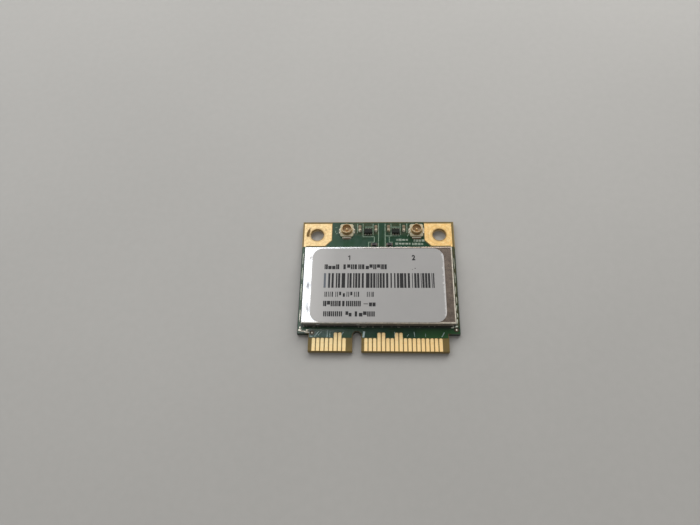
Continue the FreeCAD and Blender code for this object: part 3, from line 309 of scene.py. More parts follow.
def laminate_finish(finish):
    """Glass fibre in resin: a fine weave, darker resin in patches and a rough cut edge, with
    painted light on the cut edges and the hole walls and painted shade on the edges beside the
    shield.
    """
    finish.set("Roughness", 0.55)
    by_contacts = finish.band("Y", -10.9, -9.6, -9.2, -8.8)
    resin = finish.times(finish.patches(1.4, 0.4, 0.65), 0.35)
    bare_rings = [finish.spot(x, y, DOT_RING, DOT_RING + 0.04) for x, y in dots()]
    finish.coat("laminate_dark", finish.most(by_contacts, resin, *bare_rings))
    low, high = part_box("circuit_board")
    between_skins = finish.times(finish.ramp("Z", -0.06, -0.12, at=high[2]),
                                 finish.ramp("Z", 0.04, 0.1, at=low[2]))
    from_middle = finish.math("ABSOLUTE", finish.axis("X"))
    sides = finish.ramp(from_middle, 14.84, 14.88)
    wing_fronts = finish.times(finish.ramp("Y", -9.93, -9.97), finish.ramp(from_middle, 13.2, 13.4))
    # Painted light and shade on the cut edges: paler than the top face, but dark grey-green beside
    # the shield
    beside_shield = finish.band("Y", -10.25, -10.12, 7.3, 7.8)
    edge_color = finish.mix(beside_shield, "laminate_edge_painted_light", "edge_painted_shade")
    finish.coat(edge_color, finish.most(between_skins, sides, wing_fronts))
    # Painted light: the hole walls are paler than the laminate and palest towards their foot
    wall_color = finish.mix(finish.ramp("Z", -0.3, -0.55, at=high[2]), "hole_wall_painted_light", "hole_foot_painted_light")
    from_hole = finish.distance(*HOLE_PLACE, mirrored=True)
    finish.coat(wall_color, finish.ramp(from_hole, HOLE_RADIUS + 0.1, HOLE_RADIUS + 0.05))
    weave = [finish.noise(0.12, 2, stretch) for stretch in ((1, 8, 1), (8, 1, 1))]
    finish.bump(finish.most(*weave), 0.012)


# Both ends in X of the flux among the parts at the antenna end, in millimetres
FLUX_SPANS = ((-5.2, 0.0), (1.5, 6.4))


def mask_finish(finish):
    """Green lacquer over copper: teal planes, faint tracks and a slight orange peel."""
    planes = finish.times(finish.patches(2.6, 0.47, 0.53, detail=1), 0.5)
    tracks = finish.patches(0.34, 0.56, 0.6, 0.0, 0.35, detail=0, stretch=(1, 14, 1))
    finish.coat("mask_teal", finish.most(planes, tracks))
    finish.coat("mask_blue", finish.ramp("Y", -9.2, -9.6), finish.ramp("X", -6.8, -8.2),
                finish.patches(0.9, 0.35, 0.6, 0.1, 0.5, detail=2))
    for left, right in FLUX_SPANS:
        finish.coat("mask_flux", finish.band("X", left - 0.2, left, right, right + 0.2),
                    finish.ramp("Y", 10.2, 10.7),
                    finish.patches(0.5, 0.36, 0.6, 0.05, 0.5, detail=2))
    finish.coat("mask_flux", finish.ramp("X", 14.2, 14.5),
                finish.patches(0.7, 0.3, 0.6, 0.35, 0.9, detail=2), finish.ramp("Y", -9.0, -8.0))
    finish.coat("mask_leaf", finish.ramp("Y", -9.0, -9.3), finish.ramp("X", 6.5, 8.5, 0.0, 0.7))
    # Painted shade: the mask beside the left jack turns a deeper green
    finish.coat("mask_painted_shade", finish.ramp("X", -3.0, -6.0, 0.0, 0.35), finish.ramp("Y", 11.2, 10.0))
    for x, y in dots():
        finish.coat("chip", finish.spot(x, y, DOT_RING, DOT_RING + 0.2, 0.85))
    dim = finish.times(finish.ramp("X", -2.5, -6.0, 0.0, 0.17), finish.ramp("Y", 7.0, 8.0))
    finish.set("Specular IOR Level", finish.math("SUBTRACT", 0.5, dim))
    finish.polish(finish.noise(0.8), 0.12, 0.24)
    finish.bump(finish.noise(0.22), 0.01, 0.6)


def paint_gold_light_across(finish, right):
    """Turns the gold from its paler tone at the left of the card to its tone at the right, a
    painted light, with soft clouds.
    """
    clouds = finish.patches(1.1, 0.35, 0.65, -0.16, 0.16)
    finish.coat(right, finish.math("ADD", finish.ramp("X", -14.0, 12.0), clouds))


def contact_finish(finish):
    """Gold fingers, wiped along Y by the socket's springs and duller at their front ends."""
    finish.set("Metallic", 0.05)
    paint_gold_light_across(finish, "contact_right")
    dirt = finish.times(finish.patches(0.5, 0.52, 0.7), 0.45)
    finish.coat("gold_right", finish.most(finish.ramp("Y", -12.2, -13.2, 0.0, 0.3), dirt))
    wipes = finish.noise(0.05, stretch=(1, 40, 1))
    finish.polish(wipes, 0.26, 0.44)
    finish.bump(wipes, 0.006, 0.7)


# Pitch of the dull rings under a screw head, in radians to a metre
RING_PITCH = 9000.0
# Marks on the left screw pad: middle, radius and depth
PAD_MARKS = (
    (-10.4, 11.6, 0.24, 0.5), (-10.45, 10.8, 0.18, 0.4), (-13.4, 12.0, 0.2, 0.35),
    (-11.3, 9.0, 0.3, 0.22),
)


def pad_finish(finish, worn):
    """Gold of a screw pad: fine grain, dull rings under the screw head, and its marks."""
    finish.set("Metallic", 0.35)
    from_hole = finish.distance(*HOLE_PLACE, mirrored=True)
    rings = finish.math("SINE", finish.times(from_hole, RING_PITCH))
    rings = finish.spread(rings, -1.0, 1.0, 0.0, 0.2)
    marks = [finish.times(rings, finish.ramp(from_hole, 2.35, 2.1)),
             finish.ramp(from_hole, 1.56, 1.38, 0.0, 0.75),
             finish.times(finish.patches(0.35, 0.5, 0.75, detail=5), 0.3)]
    if worn:
        marks.append(finish.times(finish.band(from_hole, 1.5, 1.6, 2.1, 2.2),
                                  finish.ramp("X", -13.35, -13.65), finish.ramp("Y", 9.9, 10.2)))
        marks += [finish.spot(x * MM, y * MM, 0.4 * radius, radius, depth)
                  for x, y, radius, depth in PAD_MARKS]
    paint_gold_light_across(finish, "gold_right")
    finish.coat("contact_left", finish.patches(0.5, 0.45, 0.65, 0.0, 0.5))
    finish.coat("gold_worn", finish.most(*marks))
    right, back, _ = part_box("mounting_pad_right")[1]
    finish.coat("laminate", finish.most(finish.ramp("X", -0.18, -0.14, at=right),
                                        finish.ramp("Y", -0.12, -0.08, at=back)))
    finish.polish(finish.noise(0.6), 0.3, 0.48)
    finish.bump(finish.noise(0.16, 4), 0.01, 0.8)


def metal_finish(finish, roughness, grain, metallic=1.0):
    """Plated metal with a cloudy polish and small pits."""
    finish.set("Metallic", metallic)
    clouds = finish.noise(grain, 4)
    finish.coat(tint(finish.color, 0.62), finish.spread(clouds, 0.35, 0.75))
    finish.polish(clouds, roughness * 0.75, roughness * 1.3)
    finish.bump(finish.noise(grain * 0.5), 0.015, 0.7)


def tin_finish(finish):
    """Tinned ends and lands: bright before the matching parts, brown with flux elsewhere."""
    finish.set("Metallic", 0.5)
    clouds = finish.noise(0.3, 4)
    behind, before = finish.ramp("Y", 11.46, 11.62), finish.ramp("Y", 10.2, 9.6)
    elsewhere = finish.times(finish.most(behind, before), 0.85)
    finish.coat("flux", finish.most(elsewhere, finish.spread(clouds, 0.4, 0.75)))
    finish.polish(clouds, 0.3, 0.5)
    finish.bump(finish.noise(0.15), 0.015, 0.7)


# From a jack's axis, in millimetres: where its ring turns pale, its ground straps begin, and the
# straps' soldered feet begin
JACK_INSIDE = 0.86
JACK_STRAPS = 1.14
JACK_FEET = 1.36


def from_jacks(finish):
    """Distance from the nearer jack's axis."""
    middles = [middle_of(f"antenna_jack_{number}_ring") for number in (1, 2)]
    return finish.math("MINIMUM", *(finish.distance(x, y) for x, y, _ in middles))


def jack_ring_finish(finish):
    """Pale gold over brass outside, with painted shade browner inside the ring and darker down its
    outer wall, and tinned straps.
    """
    away = from_jacks(finish)
    clouds = finish.patches(0.3, 0.4, 0.75, 0.0, 0.35, detail=4)
    # Painted shade: browner inside the ring
    inside = finish.ramp(away, JACK_INSIDE + 0.015, JACK_INSIDE)
    finish.coat("jack_hollow_painted_shade", finish.most(inside, clouds))
    # Painted shade: darker down the ring's outer wall
    below_lip = finish.ramp("Z", -0.08, -0.3, 0.0, 0.9, at=top_of("antenna_jack_1_ring"))
    finish.coat("jack_wall_painted_shade", below_lip, finish.ramp(away, 0.9, 0.92))
    feet = finish.ramp(away, JACK_FEET, JACK_FEET + 0.05)
    strap_color = finish.mix(feet, "jack_plastic", "solder")
    finish.coat(strap_color, finish.ramp(away, JACK_STRAPS, JACK_STRAPS + 0.05))
    finish.set("Metallic", finish.ramp(away, JACK_STRAPS, JACK_STRAPS + 0.05, 0.45, 0.05))
    finish.set("Roughness", finish.spread(clouds, 0.0, 0.4, 0.3, 0.45))
    finish.bump(finish.noise(0.15), 0.012, 0.7)


def jack_base_finish(finish):
    """Cream moulding, with the ring's reflection painted brown on the floor inside it."""
    specks = finish.patches(0.14, 0.45, 0.75, 0.0, 0.4, detail=4, rough=0.65)
    finish.coat(tint("jack_plastic", 0.75), specks)
    # Painted reflection: the floor inside the ring is painted brown
    finish.coat("jack_floor_painted_reflection",
                finish.ramp(from_jacks(finish), JACK_INSIDE, JACK_INSIDE - 0.04, 0.0, 0.85))
    finish.set("Roughness", finish.spread(specks, 0.0, 0.4, 0.42, 0.58))
    finish.bump(finish.noise(0.1, 4), 0.01, 0.7)


def pin_finish(finish):
    """Gold of a jack's centre pin, tinned where its tail lies on the board, with a dark strip at
    the base's front edge as painted shadow.
    """
    clouds = finish.patches(0.2, 0.4, 0.7, 0.0, 0.5, detail=4)
    # Darker clouds on the pin, in the colour of the ring's painted shade
    finish.coat("jack_hollow_painted_shade", clouds)
    base_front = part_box("antenna_jack_1_base")[0][1]
    # The tail is tin in a band and flux-coloured elsewhere; the dark strip next to the base's front
    # edge is painted shadow
    bright = finish.band("Y", -0.26, -0.2, -0.1, -0.06, at=base_front)
    tail_tin_flux_and_painted_shadow = finish.mix(bright, "flux", tint("solder", 0.9))
    away = from_jacks(finish)
    finish.coat(tail_tin_flux_and_painted_shadow, finish.ramp(away, JACK_INSIDE, JACK_STRAPS))
    finish.set("Metallic", finish.ramp(away, JACK_INSIDE, JACK_STRAPS, 0.5, 0.1))
    finish.set("Roughness", finish.spread(clouds, 0.0, 0.5, 0.3, 0.45))
    finish.bump(finish.noise(0.15), 0.01, 0.7)


# How far the painted highlight reaches in from a fold, and where it is full, in millimetres
FOLD_REACH = 0.3
FOLD_WIDTH = 0.16
# Soft smudges on the bright left of the lid: place and radius, in millimetres
SMUDGES = ((-13.3, -1.1, 1.5), (-13.2, -5.6, 1.6), (-12.9, 4.6, 0.6))
# Share of the walls' tin that is dull
WALL_DULLNESS = 0.5


def steel_finish(finish):
    """Tinned sheet, rolled along X: faint lines, scratches and finger marks, with a painted
    reflection tint across it, painted highlights along the folds and painted shade on the front
    wall.
    """
    low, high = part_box("shield_lid")
    # Painted reflection tint: the sheet turns from cool at the left to warmer at the right, with
    # darker mottling only on the right
    side = finish.ramp("X", -8.0, 12.0)
    finish.coat("steel", side)
    finish.coat(tint("steel", 0.6), finish.patches(0.9, 0.4, 0.66, 0.0, 0.8), side)
    smudges = [finish.spot(x * MM, y * MM, 0.2 * radius, radius) for x, y, radius in SMUDGES]
    strokes = finish.patches(0.22, 0.36, 0.62, 0.1, 0.88, detail=2, stretch=(1, 7, 1))
    finish.coat(tint("steel_left", 0.22), finish.most(*smudges), strokes)
    marks = finish.times(finish.patches(3.2, 0.45, 0.6, detail=2), 0.25)
    scratches = finish.patches(0.12, 0.66, 0.72, 0.0, 0.2, detail=1, stretch=(1, 18, 1))
    finish.coat(tint("steel", 0.6), finish.most(marks, scratches))
    # Painted shade: the lid's front wall is darker
    finish.coat(tint("steel", 0.45), finish.ramp("Y", 0.04, 0.02, at=low[1]),
                finish.ramp("Z", -FOLD_WIDTH, -FOLD_REACH, 0.0, 0.8, at=high[2]))
    # Painted highlight: a pale line along the right and front-right folds of the lid
    right = finish.ramp("X", -FOLD_REACH, -FOLD_WIDTH, at=high[0])
    front = finish.times(finish.ramp("Y", FOLD_REACH, FOLD_WIDTH, at=low[1]),
                         finish.spread(finish.axis("X"), low[0], high[0], 0.65, 1.0))
    on_top = finish.ramp("Z", -FOLD_REACH, -FOLD_WIDTH, at=high[2])
    rubbed_print_and_fold_highlight = finish.times(finish.most(right, front), on_top,
                          finish.patches(0.6, 0.3, 0.6, 0.55, 1.0))
    finish.coat("fold_painted_highlight", rubbed_print_and_fold_highlight)
    walls = finish.ramp("Z", -FOLD_WIDTH, -FOLD_REACH, 0.0, WALL_DULLNESS, at=high[2])
    finish.set("Metallic", finish.math("SUBTRACT", 1.0, finish.most(walls, rubbed_print_and_fold_highlight)))
    finish.polish(finish.noise(0.09, 2, (60, 1, 60)), 0.16, 0.25)
    finish.bump(finish.noise(2.4, 2), 0.02, 0.4)


def seam_finish(finish):
    """The shield's solder seam: mostly under flux and lacquer, with bare tin in bits."""
    finish.set("Roughness", 0.35)
    bits = finish.patches(0.5, 0.56, 0.68, 0.0, 0.8, detail=2)
    finish.coat(tint("solder", 0.45), bits)
    finish.set("Metallic", finish.times(bits, 0.6))
    finish.bump(finish.noise(0.4, 2), 0.03, 0.6)


# How far the label's torn edge wanders to either side, in metres
TEAR = 0.24 * MM


def paper_finish(finish):
    """Silver-grey paper: fine fibres, a faint rub, a painted sheen that makes it lighter towards
    the left, and a pale torn right edge.
    """
    fibres = finish.noise(0.07, 4, (3, 1, 1), rough=0.65)
    rub = finish.times(finish.patches(4.5, 0.35, 0.7), 0.25)
    dulled = finish.math("ADD", rub, finish.spread(fibres, 0.3, 0.7, 0.0, 0.2))
    finish.coat(tint("paper", 0.86), dulled)
    # Painted sheen: the paper is lighter towards the left
    finish.coat(tint("paper", 1.25), finish.ramp("X", -8.0, -12.5))
    wander = finish.patches(0.45, 0.3, 0.7, -TEAR, TEAR, detail=4)
    ragged = finish.math("ADD", finish.axis("X"), wander)
    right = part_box("label")[1][0]
    finish.coat(tint("paper", 1.6), finish.ramp(ragged, -0.36, -0.22, 0.0, 0.9, at=right))
    finish.polish(fibres, 0.28, 0.38)
    finish.bump(fibres, 0.004, 0.5)


def ink_finish(finish):
    """Black thermal print that is broken by the paper's grain and rubbed pale at the left."""
    finish.set("Roughness", 0.7)
    broken = finish.patches(0.14, 0.58, 0.78, 0.0, 0.35)
    rubbed_print_and_fold_highlight = finish.times(finish.ramp("X", -9.2, -9.5), finish.band("Y", -1.8, -1.7, 1.4, 1.5))
    finish.coat("ink_faded", finish.most(broken, rubbed_print_and_fold_highlight))
    finish.bump(finish.noise(0.1), 0.003, 0.5)


def silk_finish(finish):
    """Pale epoxy ink, thin enough for the mask to show through in places."""
    finish.set("Roughness", 0.6)
    finish.coat(tint("mask", 1.6), finish.patches(0.3, 0.42, 0.7, 0.0, 0.75))
    finish.bump(finish.noise(0.1), 0.004, 0.5)


def moulded_finish(finish, roughness, gloss=0.5):
    """Moulded plastic or fired ceramic with a fine grain and a few pale specks."""
    finish.set("Specular IOR Level", gloss)
    specks = finish.patches(0.1, 0.5, 0.75, detail=5, rough=0.7)
    cloud = finish.times(finish.patches(0.7, 0.35, 0.7), 0.3)
    finish.coat(tint(finish.color, 1.5), finish.math("ADD", finish.times(specks, 0.35), cloud))
    finish.set("Roughness", finish.spread(specks, 0.0, 1.0, roughness * 0.85, roughness * 1.2))
    finish.bump(finish.noise(0.08, 4), 0.01, 0.7)


def floor_finish(finish):
    """A plain pale floor with a very soft variation."""
    finish.set("Roughness", 0.6)
    soft = finish.times(finish.patches(60.0, 0.3, 0.7, detail=2), 0.5)
    fine = finish.patches(1.5, 0.3, 0.7, 0.0, 0.3, detail=4)
    finish.coat(tint("floor", 0.9), finish.math("ADD", fine, soft))
    finish.bump(finish.noise(0.5), 0.01, 0.3)


# Each finish by name: its maker and plain colour, then what else the maker is given
MAKERS = {
    "laminate": (laminate_finish, "laminate"),
    "mask": (mask_finish, "mask"),
    "contact": (contact_finish, "contact_left"),
    "pad_left": (pad_finish, "gold_left", True),
    "pad_right": (pad_finish, "gold_left", False),
    "jack_base": (jack_base_finish, "jack_plastic"),
    "jack_ring": (jack_ring_finish, "jack_metal"),
    "pin": (pin_finish, "jack_metal"),
    "test_pad": (metal_finish, "gold_left", 0.3, 0.15),
    "solder": (metal_finish, "solder", 0.22, 0.35, 0.72),
    "dot": (metal_finish, "solder", 0.3, 0.35, 0.12),
    "fillet": (metal_finish, "flux", 0.35, 0.3, 0.2),
    "lead": (metal_finish, "lead", 0.35, 0.2, 0.3),
    "dull_lead": (metal_finish, "core", 0.4, 0.2, 0.2),
    "strip": (metal_finish, "track", 0.35, 0.4, 0.5),
    "bits": (metal_finish, "bits", 0.35, 0.5, 0.2),
    "tin": (tin_finish, "tin"),
    "shield": (steel_finish, "steel_left"),
    "seam": (seam_finish, "seam"),
    "paper": (paper_finish, "paper"),
    "ink": (ink_finish, "ink"),
    "silk": (silk_finish, "silk"),
    "track": (silk_finish, "track"),
    "marks": (silk_finish, "marks"),
    "switch": (moulded_finish, "switch", 0.75, 0.15),
    "chip": (moulded_finish, "chip", 0.7, 0.2),
    "capacitor": (moulded_finish, "ceramic", 0.45),
    "resistor": (moulded_finish, "resistor", 0.35),
    "crystal": (moulded_finish, "crystal", 0.5),
    "core": (moulded_finish, "core", 0.6),
    "floor": (floor_finish, "floor"),
}
FINISHES = {}


def finish_of(name):
    """A finish's material by name, made when it is first asked for."""
    if name not in FINISHES:
        maker, color, *values = MAKERS[name]
        finish = Finish(name, color)
        maker(finish, *values)
        FINISHES[name] = finish.material
    return FINISHES[name]


def dress(piece, finish):
    """Gives a piece or a CAD node its finish."""
    if not piece.material_slots:
        piece.data.materials.append(finish_of(finish))
    for slot in piece.material_slots:
        slot.material = finish_of(finish)


def dress_nodes(finish, *names):
    """Gives CAD nodes their finish by name."""
    for name in names:
        dress(NODES[name], finish)


def settle(piece, name, finish):
    """Names a finished piece, gives it its finish and lets it ride on the card."""
    piece.name = name
    piece.data.name = name
    dress(piece, finish)
    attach(piece, "root")
    return piece


def start():
    """Selects nothing, so that an operator works on what it adds."""
    bpy.ops.object.select_all(action="DESELECT")


def pick(piece, kind, wanted):
    """Goes into edit mode with only the wanted faces or edges selected."""
    bpy.ops.object.mode_set(mode="EDIT")
    bpy.ops.mesh.select_mode(type=kind)
    bpy.ops.mesh.select_all(action="DESELECT")
    shape = bmesh.from_edit_mesh(piece.data)
    for part in shape.faces if kind == "FACE" else shape.edges:
        part.select_set(wanted(part))
    bmesh.update_edit_mesh(piece.data)


def lay(name, unit, places, base, finish):
    """Copies of a unit piece as one; each is its middle, width, depth, scale in Z and turn."""
    copies = []
    for x, y, wide, deep, tall, turn in places:
        place = Matrix.Translation((x * MM, y * MM, base))
        turned = Matrix.Rotation(math.radians(turn), 4, "Z")
        copy = unit.copy()
        copy.data = unit.data.copy()
        copy.data.transform(place @ turned @ Matrix.Diagonal((wide * MM, deep * MM, tall, 1)))
        bpy.context.collection.objects.link(copy)
        copies.append(copy)
    bpy.data.objects.remove(unit)
    start()
    for copy in copies:
        copy.select_set(True)
    bpy.context.view_layer.objects.active = copies[0]
    bpy.ops.object.join()
    return settle(bpy.context.object, name, finish)


# Width of the softened rim of an ink field, in shares of the field
FIELD_RIM = 0.06


def add_field():
    """A field of ink one metre square round the origin, with softened upper edges."""
    start()
    bpy.ops.mesh.primitive_plane_add(size=1, location=(0, 0, 0))
    field = bpy.context.object
    bpy.ops.object.mode_set(mode="EDIT")
    bpy.ops.mesh.select_all(action="SELECT")
    bpy.ops.mesh.extrude_region_move(TRANSFORM_OT_translate={"value": (0, 0, sizes().ink)})
    pick(field, "FACE", lambda face: face.normal.z > 0.9)
    bpy.ops.mesh.inset(thickness=FIELD_RIM, depth=0)
    bpy.ops.mesh.select_all(action="SELECT")
    bpy.ops.mesh.normals_make_consistent(inside=False)
    bpy.ops.object.mode_set(mode="OBJECT")
    return field


def print_fields(name, fields, base, finish):
    """Ink fields as one piece; each is its middle, size and turn, in millimetres and degrees."""
    places = [(x, y, wide, deep, 1, turn) for x, y, wide, deep, turn in fields]
    lay(name, add_field(), places, base, finish)


def span(left, right, front, back):
    """A field from its four edges."""
    return ((left + right) / 2, (front + back) / 2, right - left, back - front, 0)


# The digit 1: its upright and its flag, in millimetres and degrees
DIGIT_1 = ((-5.42, 4.57, 0.18, 1.0, 0), (-5.6, 4.9, 0.4, 0.15, 35))
# The digit 2: its middle, how far its outline grows in shares of its size, and its narrowing
DIGIT_2_PLACE = (6.75, 4.6)
DIGIT_BOLDNESS = 0.045
DIGIT_WIDTH = 0.86


def add_digit_2():
    """The digit 2 on the label, as a thin mesh."""
    start()
    bpy.ops.object.text_add(location=(0, 0, 0))
    digit = bpy.context.object
    digit.data.body = "2"
    digit.data.align_x = "CENTER"
    digit.data.align_y = "CENTER"
    digit.data.extrude = 0.5
    digit.data.offset = DIGIT_BOLDNESS
    bpy.ops.object.convert(target="MESH")
    digit = bpy.context.object
    along_axes = list(zip(*(vertex.co for vertex in digit.data.vertices)))
    low, high = [min(values) for values in along_axes], [max(values) for values in along_axes]
    scale = sizes().digit_2 / (high[1] - low[1])
    middle = Vector(((low[0] + high[0]) / 2, (low[1] + high[1]) / 2, low[2]))
    thick = sizes().ink / (high[2] - low[2])
    x, y = DIGIT_2_PLACE
    place = Matrix.Translation((x * MM, y * MM, top_of("label")))
    size = Matrix.Diagonal((scale * DIGIT_WIDTH, scale, thick, 1))
    digit.data.transform(place @ size @ Matrix.Translation(-middle))
    return digit


# Print on the label, in millimetres: modules in a bar and in a gap, and the bar field's edges
BAR_MODULES = (1, 2, 3, 3, 3, 5)
GAP_MODULES = (1, 1, 2, 2, 3)
BAR_FIELD = (-10.25, 10.5, -1.65, 1.35)
# Rows of words that stand for small print: middle in Y, height, each word's ends in X, boldness
WORD_ROWS = (
    (2.68, 1.02, ((-10.2, -7.3), (-6.6, 1.9)), 1.25),
    (-2.95, 1.02, ((-10.05, -3.1), (-2.1, -0.6)), 0.7),
    (-4.8, 1.08, ((-10.2, -3.1), (-1.7, -0.4)), 1.2),
    (-6.82, 1.0, ((-10.1, -6.5), (-6.0, -4.8), (-4.3, -0.5)), 1.15),
)
# The dash in the third row and two dots: middle, size and turn
WORD_DOTS = ((-2.3, -4.85, 0.8, 0.14, 0), (7.0, 2.35, 0.24, 0.14, 0), (6.5, 2.1, 0.12, 0.1, 0))
# A letter's place, and the share of it that a letter fills
LETTER_PITCH = 0.71
LETTER_FILL = 0.86
# Plain blocks of one letter's width, as fields in shares of its width and height
MARKS = (
    ((0.0, 0.5, 0.0, 1.0),),
    ((0.0, 0.3, 0.0, 1.0), (0.48, 0.78, 0.0, 1.0)),
    ((0.0, 0.78, 0.0, 0.7),),
    ((0.0, 0.78, 0.3, 1.0),),
    ((0.0, 0.22, 0.0, 1.0), (0.36, 0.82, 0.0, 1.0)),
)


def bar_fields():
    """Bars and gaps of whole modules, drawn by chance, up to the right end of the field."""
    left, right, front, back = BAR_FIELD
    module = sizes().bar_module / MM
    chance = random.Random(11)
    bars = []
    x = left
    while x < right - module:
        wide = min(module * chance.choice(BAR_MODULES), right - x)
        bars.append(span(x, x + wide, front, back))
        x += wide + module * chance.choice(GAP_MODULES)
    return bars


def word_fields():
    """Rows of plain marks, one to a letter's place, like small print from afar."""
    chance = random.Random(5)
    fields = []
    for middle, tall, words, bold in WORD_ROWS:
        front = middle - tall / 2
        for left, right in words:
            count = max(1, round((right - left) / LETTER_PITCH))
            pitch = (right - left) / count
            for step in range(count):
                x = left + step * pitch
                for near, far, low, high in chance.choice(MARKS):
                    end = min(near + (far - near) * bold, LETTER_FILL)
                    fields.append(span(x + near * pitch, x + end * pitch,
                                       front + low * tall, front + high * tall))
    return fields + list(WORD_DOTS)


# Silkscreen, in millimetres: upright lines by X and both ends in Y, then level lines by Y and
# both ends in X
SILK_UPRIGHTS = (
    (-4.08, 10.9, 13.0), (-2.97, 10.06, 13.0), (-0.73, 8.85, 10.06), (-1.88, 7.84, 8.86),
    (-0.98, 10.35, 13.0), (0.1, 7.9, 13.0), (1.41, 7.9, 13.0), (2.59, 10.3, 13.0),
    (2.23, 8.84, 10.05), (4.41, 10.5, 13.0), (5.74, 10.9, 13.0),
)
SILK_LEVELS = (
    (10.07, -2.97, -0.73), (8.86, -1.88, -0.73), (12.25, -2.6, -1.05), (10.25, 1.41, 4.38),
    (8.84, 2.23, 2.9), (12.22, 2.75, 4.25),
)
# Short turned lines: middle, size and turn in degrees
SILK_TURNED = (
    (-8.3, 12.2, 0.4, 0.1, 25), (-8.45, 11.2, 0.1, 0.5, 0), (-8.2, 10.8, 0.4, 0.1, 30),
    (6.0, 10.5, 0.14, 0.8, -30),
)
# The block of plain marks beside the right jack: Y, and both ends in X
SILK_MARK_ROWS = ((9.35, 3.6, 5.9), (8.5, 3.4, 6.4), (8.45, 6.7, 8.9), (9.2, 7.0, 8.6))


def silk_fields():
    """Outlines round the parts at the antenna end."""
    line = sizes().silk_line / MM
    fields = [(x, (low + high) / 2, line, high - low, 0) for x, low, high in SILK_UPRIGHTS]
    fields += [((near + far) / 2, y, far - near, line, 0) for y, near, far in SILK_LEVELS]
    return fields + list(SILK_TURNED)


# Widths, heights and gaps of the plain blocks
MARK_WIDTHS = (0.3, 0.44, 0.58)
MARK_HEIGHTS = (0.36, 0.48)
MARK_GAPS = (0.1, 0.14)


def mark_fields():
    """The rows of plain blocks beside the right jack."""
    chance = random.Random(3)
    fields = []
    for y, left, right in SILK_MARK_ROWS:
        x = left
        while x < right:
            wide = chance.choice(MARK_WIDTHS)
            fields.append((x + wide / 2, y, wide, chance.choice(MARK_HEIGHTS), 0))
            x += wide + chance.choice(MARK_GAPS)
    return fields


# Bare tracks in front of the shield, in millimetres and degrees: middle, size and turn
FRONT_TRACKS = (
    (-11.3, -10.05, 0.14, 1.35, -36), (-10.75, -10.0, 0.1, 0.9, -40), (-9.37, -10.05, 0.15, 1.3, 0),
    (-8.88, -10.2, 0.12, 1.0, 0), (-6.58, -10.0, 0.13, 0.7, -35), (6.6, -10.1, 0.1, 1.0, 6),
    (5.4, -10.3, 0.1, 0.5, -35), (11.8, -10.15, 0.12, 1.0, -30), (-12.25, -10.58, 0.7, 0.13, -8),
    (3.0, -10.1, 0.1, 0.9, 0), (8.6, -10.25, 0.1, 0.6, 0),
)
# Bare copper strip by the notch
NOTCH_STRIP = ((-2.66, -10.15, 0.36, 1.15, -8),)
# Bright solder at the left front corner: place, length, width and turn
CORNER_SOLDER = (
    (-14.45, -8.95, 0.7, 0.4, 80), (-14.3, -9.5, 1.2, 0.5, -12), (-13.3, -9.7, 1.3, 0.4, -8),
    (-13.1, -9.35, 0.7, 0.3, 20), (-14.62, -6.6, 2.4, 0.2, 90),
)
# Duller bits along the edges of the board
SOLDER_BITS = (
    (-14.64, 2.0, 2.6, 0.22, 90), (-14.64, -1.8, 3.4, 0.22, 90), (-14.66, 5.2, 2.4, 0.18, 90),
    (14.5, -7.6, 1.0, 0.3, 84), (14.62, -6.4, 0.9, 0.22, 96), (14.5, -5.0, 1.2, 0.22, 82),
    (14.62, -3.4, 1.4, 0.2, 92), (14.56, -1.4, 1.6, 0.18, 88), (14.62, 1.2, 2.2, 0.16, 91),
    (14.62, 4.2, 2.4, 0.14, 90), (14.3, -8.6, 0.6, 0.36, 20), (13.6, -8.75, 0.7, 0.3, 8),
)
# Height of a smeared bit, in shares of its width
BIT_HEIGHT = 0.4


# Radius of a bead's ball, and how far its foot then spreads over the land
BALL_RADIUS = 0.45
FOOT_SPREAD = 0.5 / BALL_RADIUS


def add_bead():
    """A bead of solder one metre wide: a ball cut off at its middle, with its foot drawn out."""
    start()
    bpy.ops.mesh.primitive_uv_sphere_add(
        segments=24, ring_count=12, radius=BALL_RADIUS, location=(0, 0, 0))
    bead = bpy.context.object
    bpy.ops.object.mode_set(mode="EDIT")
    bpy.ops.mesh.select_all(action="SELECT")
    bpy.ops.mesh.bisect(plane_co=(0, 0, 0), plane_no=(0, 0, 1), use_fill=True, clear_inner=True)
    pick(bead, "EDGE", lambda edge: max(abs(vertex.co.z) for vertex in edge.verts) < 0.001)
    bpy.ops.transform.resize(value=(FOOT_SPREAD, FOOT_SPREAD, 1.0))
    bpy.ops.object.mode_set(mode="OBJECT")
    bpy.ops.object.shade_smooth_by_angle(angle=math.radians(50))
    return bead


def set_beads(name, beads, base, finish):
    """Beads as one piece; each is its middle, size and turn, in millimetres and degrees."""
    places = [(x, y, wide, deep, tall * MM / BALL_RADIUS, turn)
              for x, y, wide, deep, tall, turn in beads]
    return lay(name, add_bead(), places, base, finish)


class WIFI_CARD_OT_board(bpy.types.Operator):
    """Finish the laminate and the solder mask of the board"""

    bl_idname = "wifi_card.board"
    bl_label = "Board"

    def execute(self, context):
        dress_nodes("laminate", "circuit_board")
        dress_nodes("mask", "solder_mask_top", "solder_mask_underside")
        return {"FINISHED"}


class WIFI_CARD_OT_gold(bpy.types.Operator):
    """Finish the edge contacts, the screw pads and the bare dots"""

    bl_idname = "wifi_card.gold"
    bl_label = "Gold"

    def execute(self, context):
        for face in ("top", "underside"):
            dress_nodes("contact", f"{face}_contacts_short_row", f"{face}_contacts_long_row")
        dress_nodes("pad_left", "mounting_pad_left")
        dress_nodes("pad_right", "mounting_pad_right")
        dress_nodes("dot", "fiducial_dots")
        dress_nodes("test_pad", "underside_test_pads")
        return {"FINISHED"}


# The fillet in front of a jack's base: how far in front, and its width, depth and height
FILLET_PLACE = 0.42
FILLET_SIZE = (1.51, 0.19, 0.12)


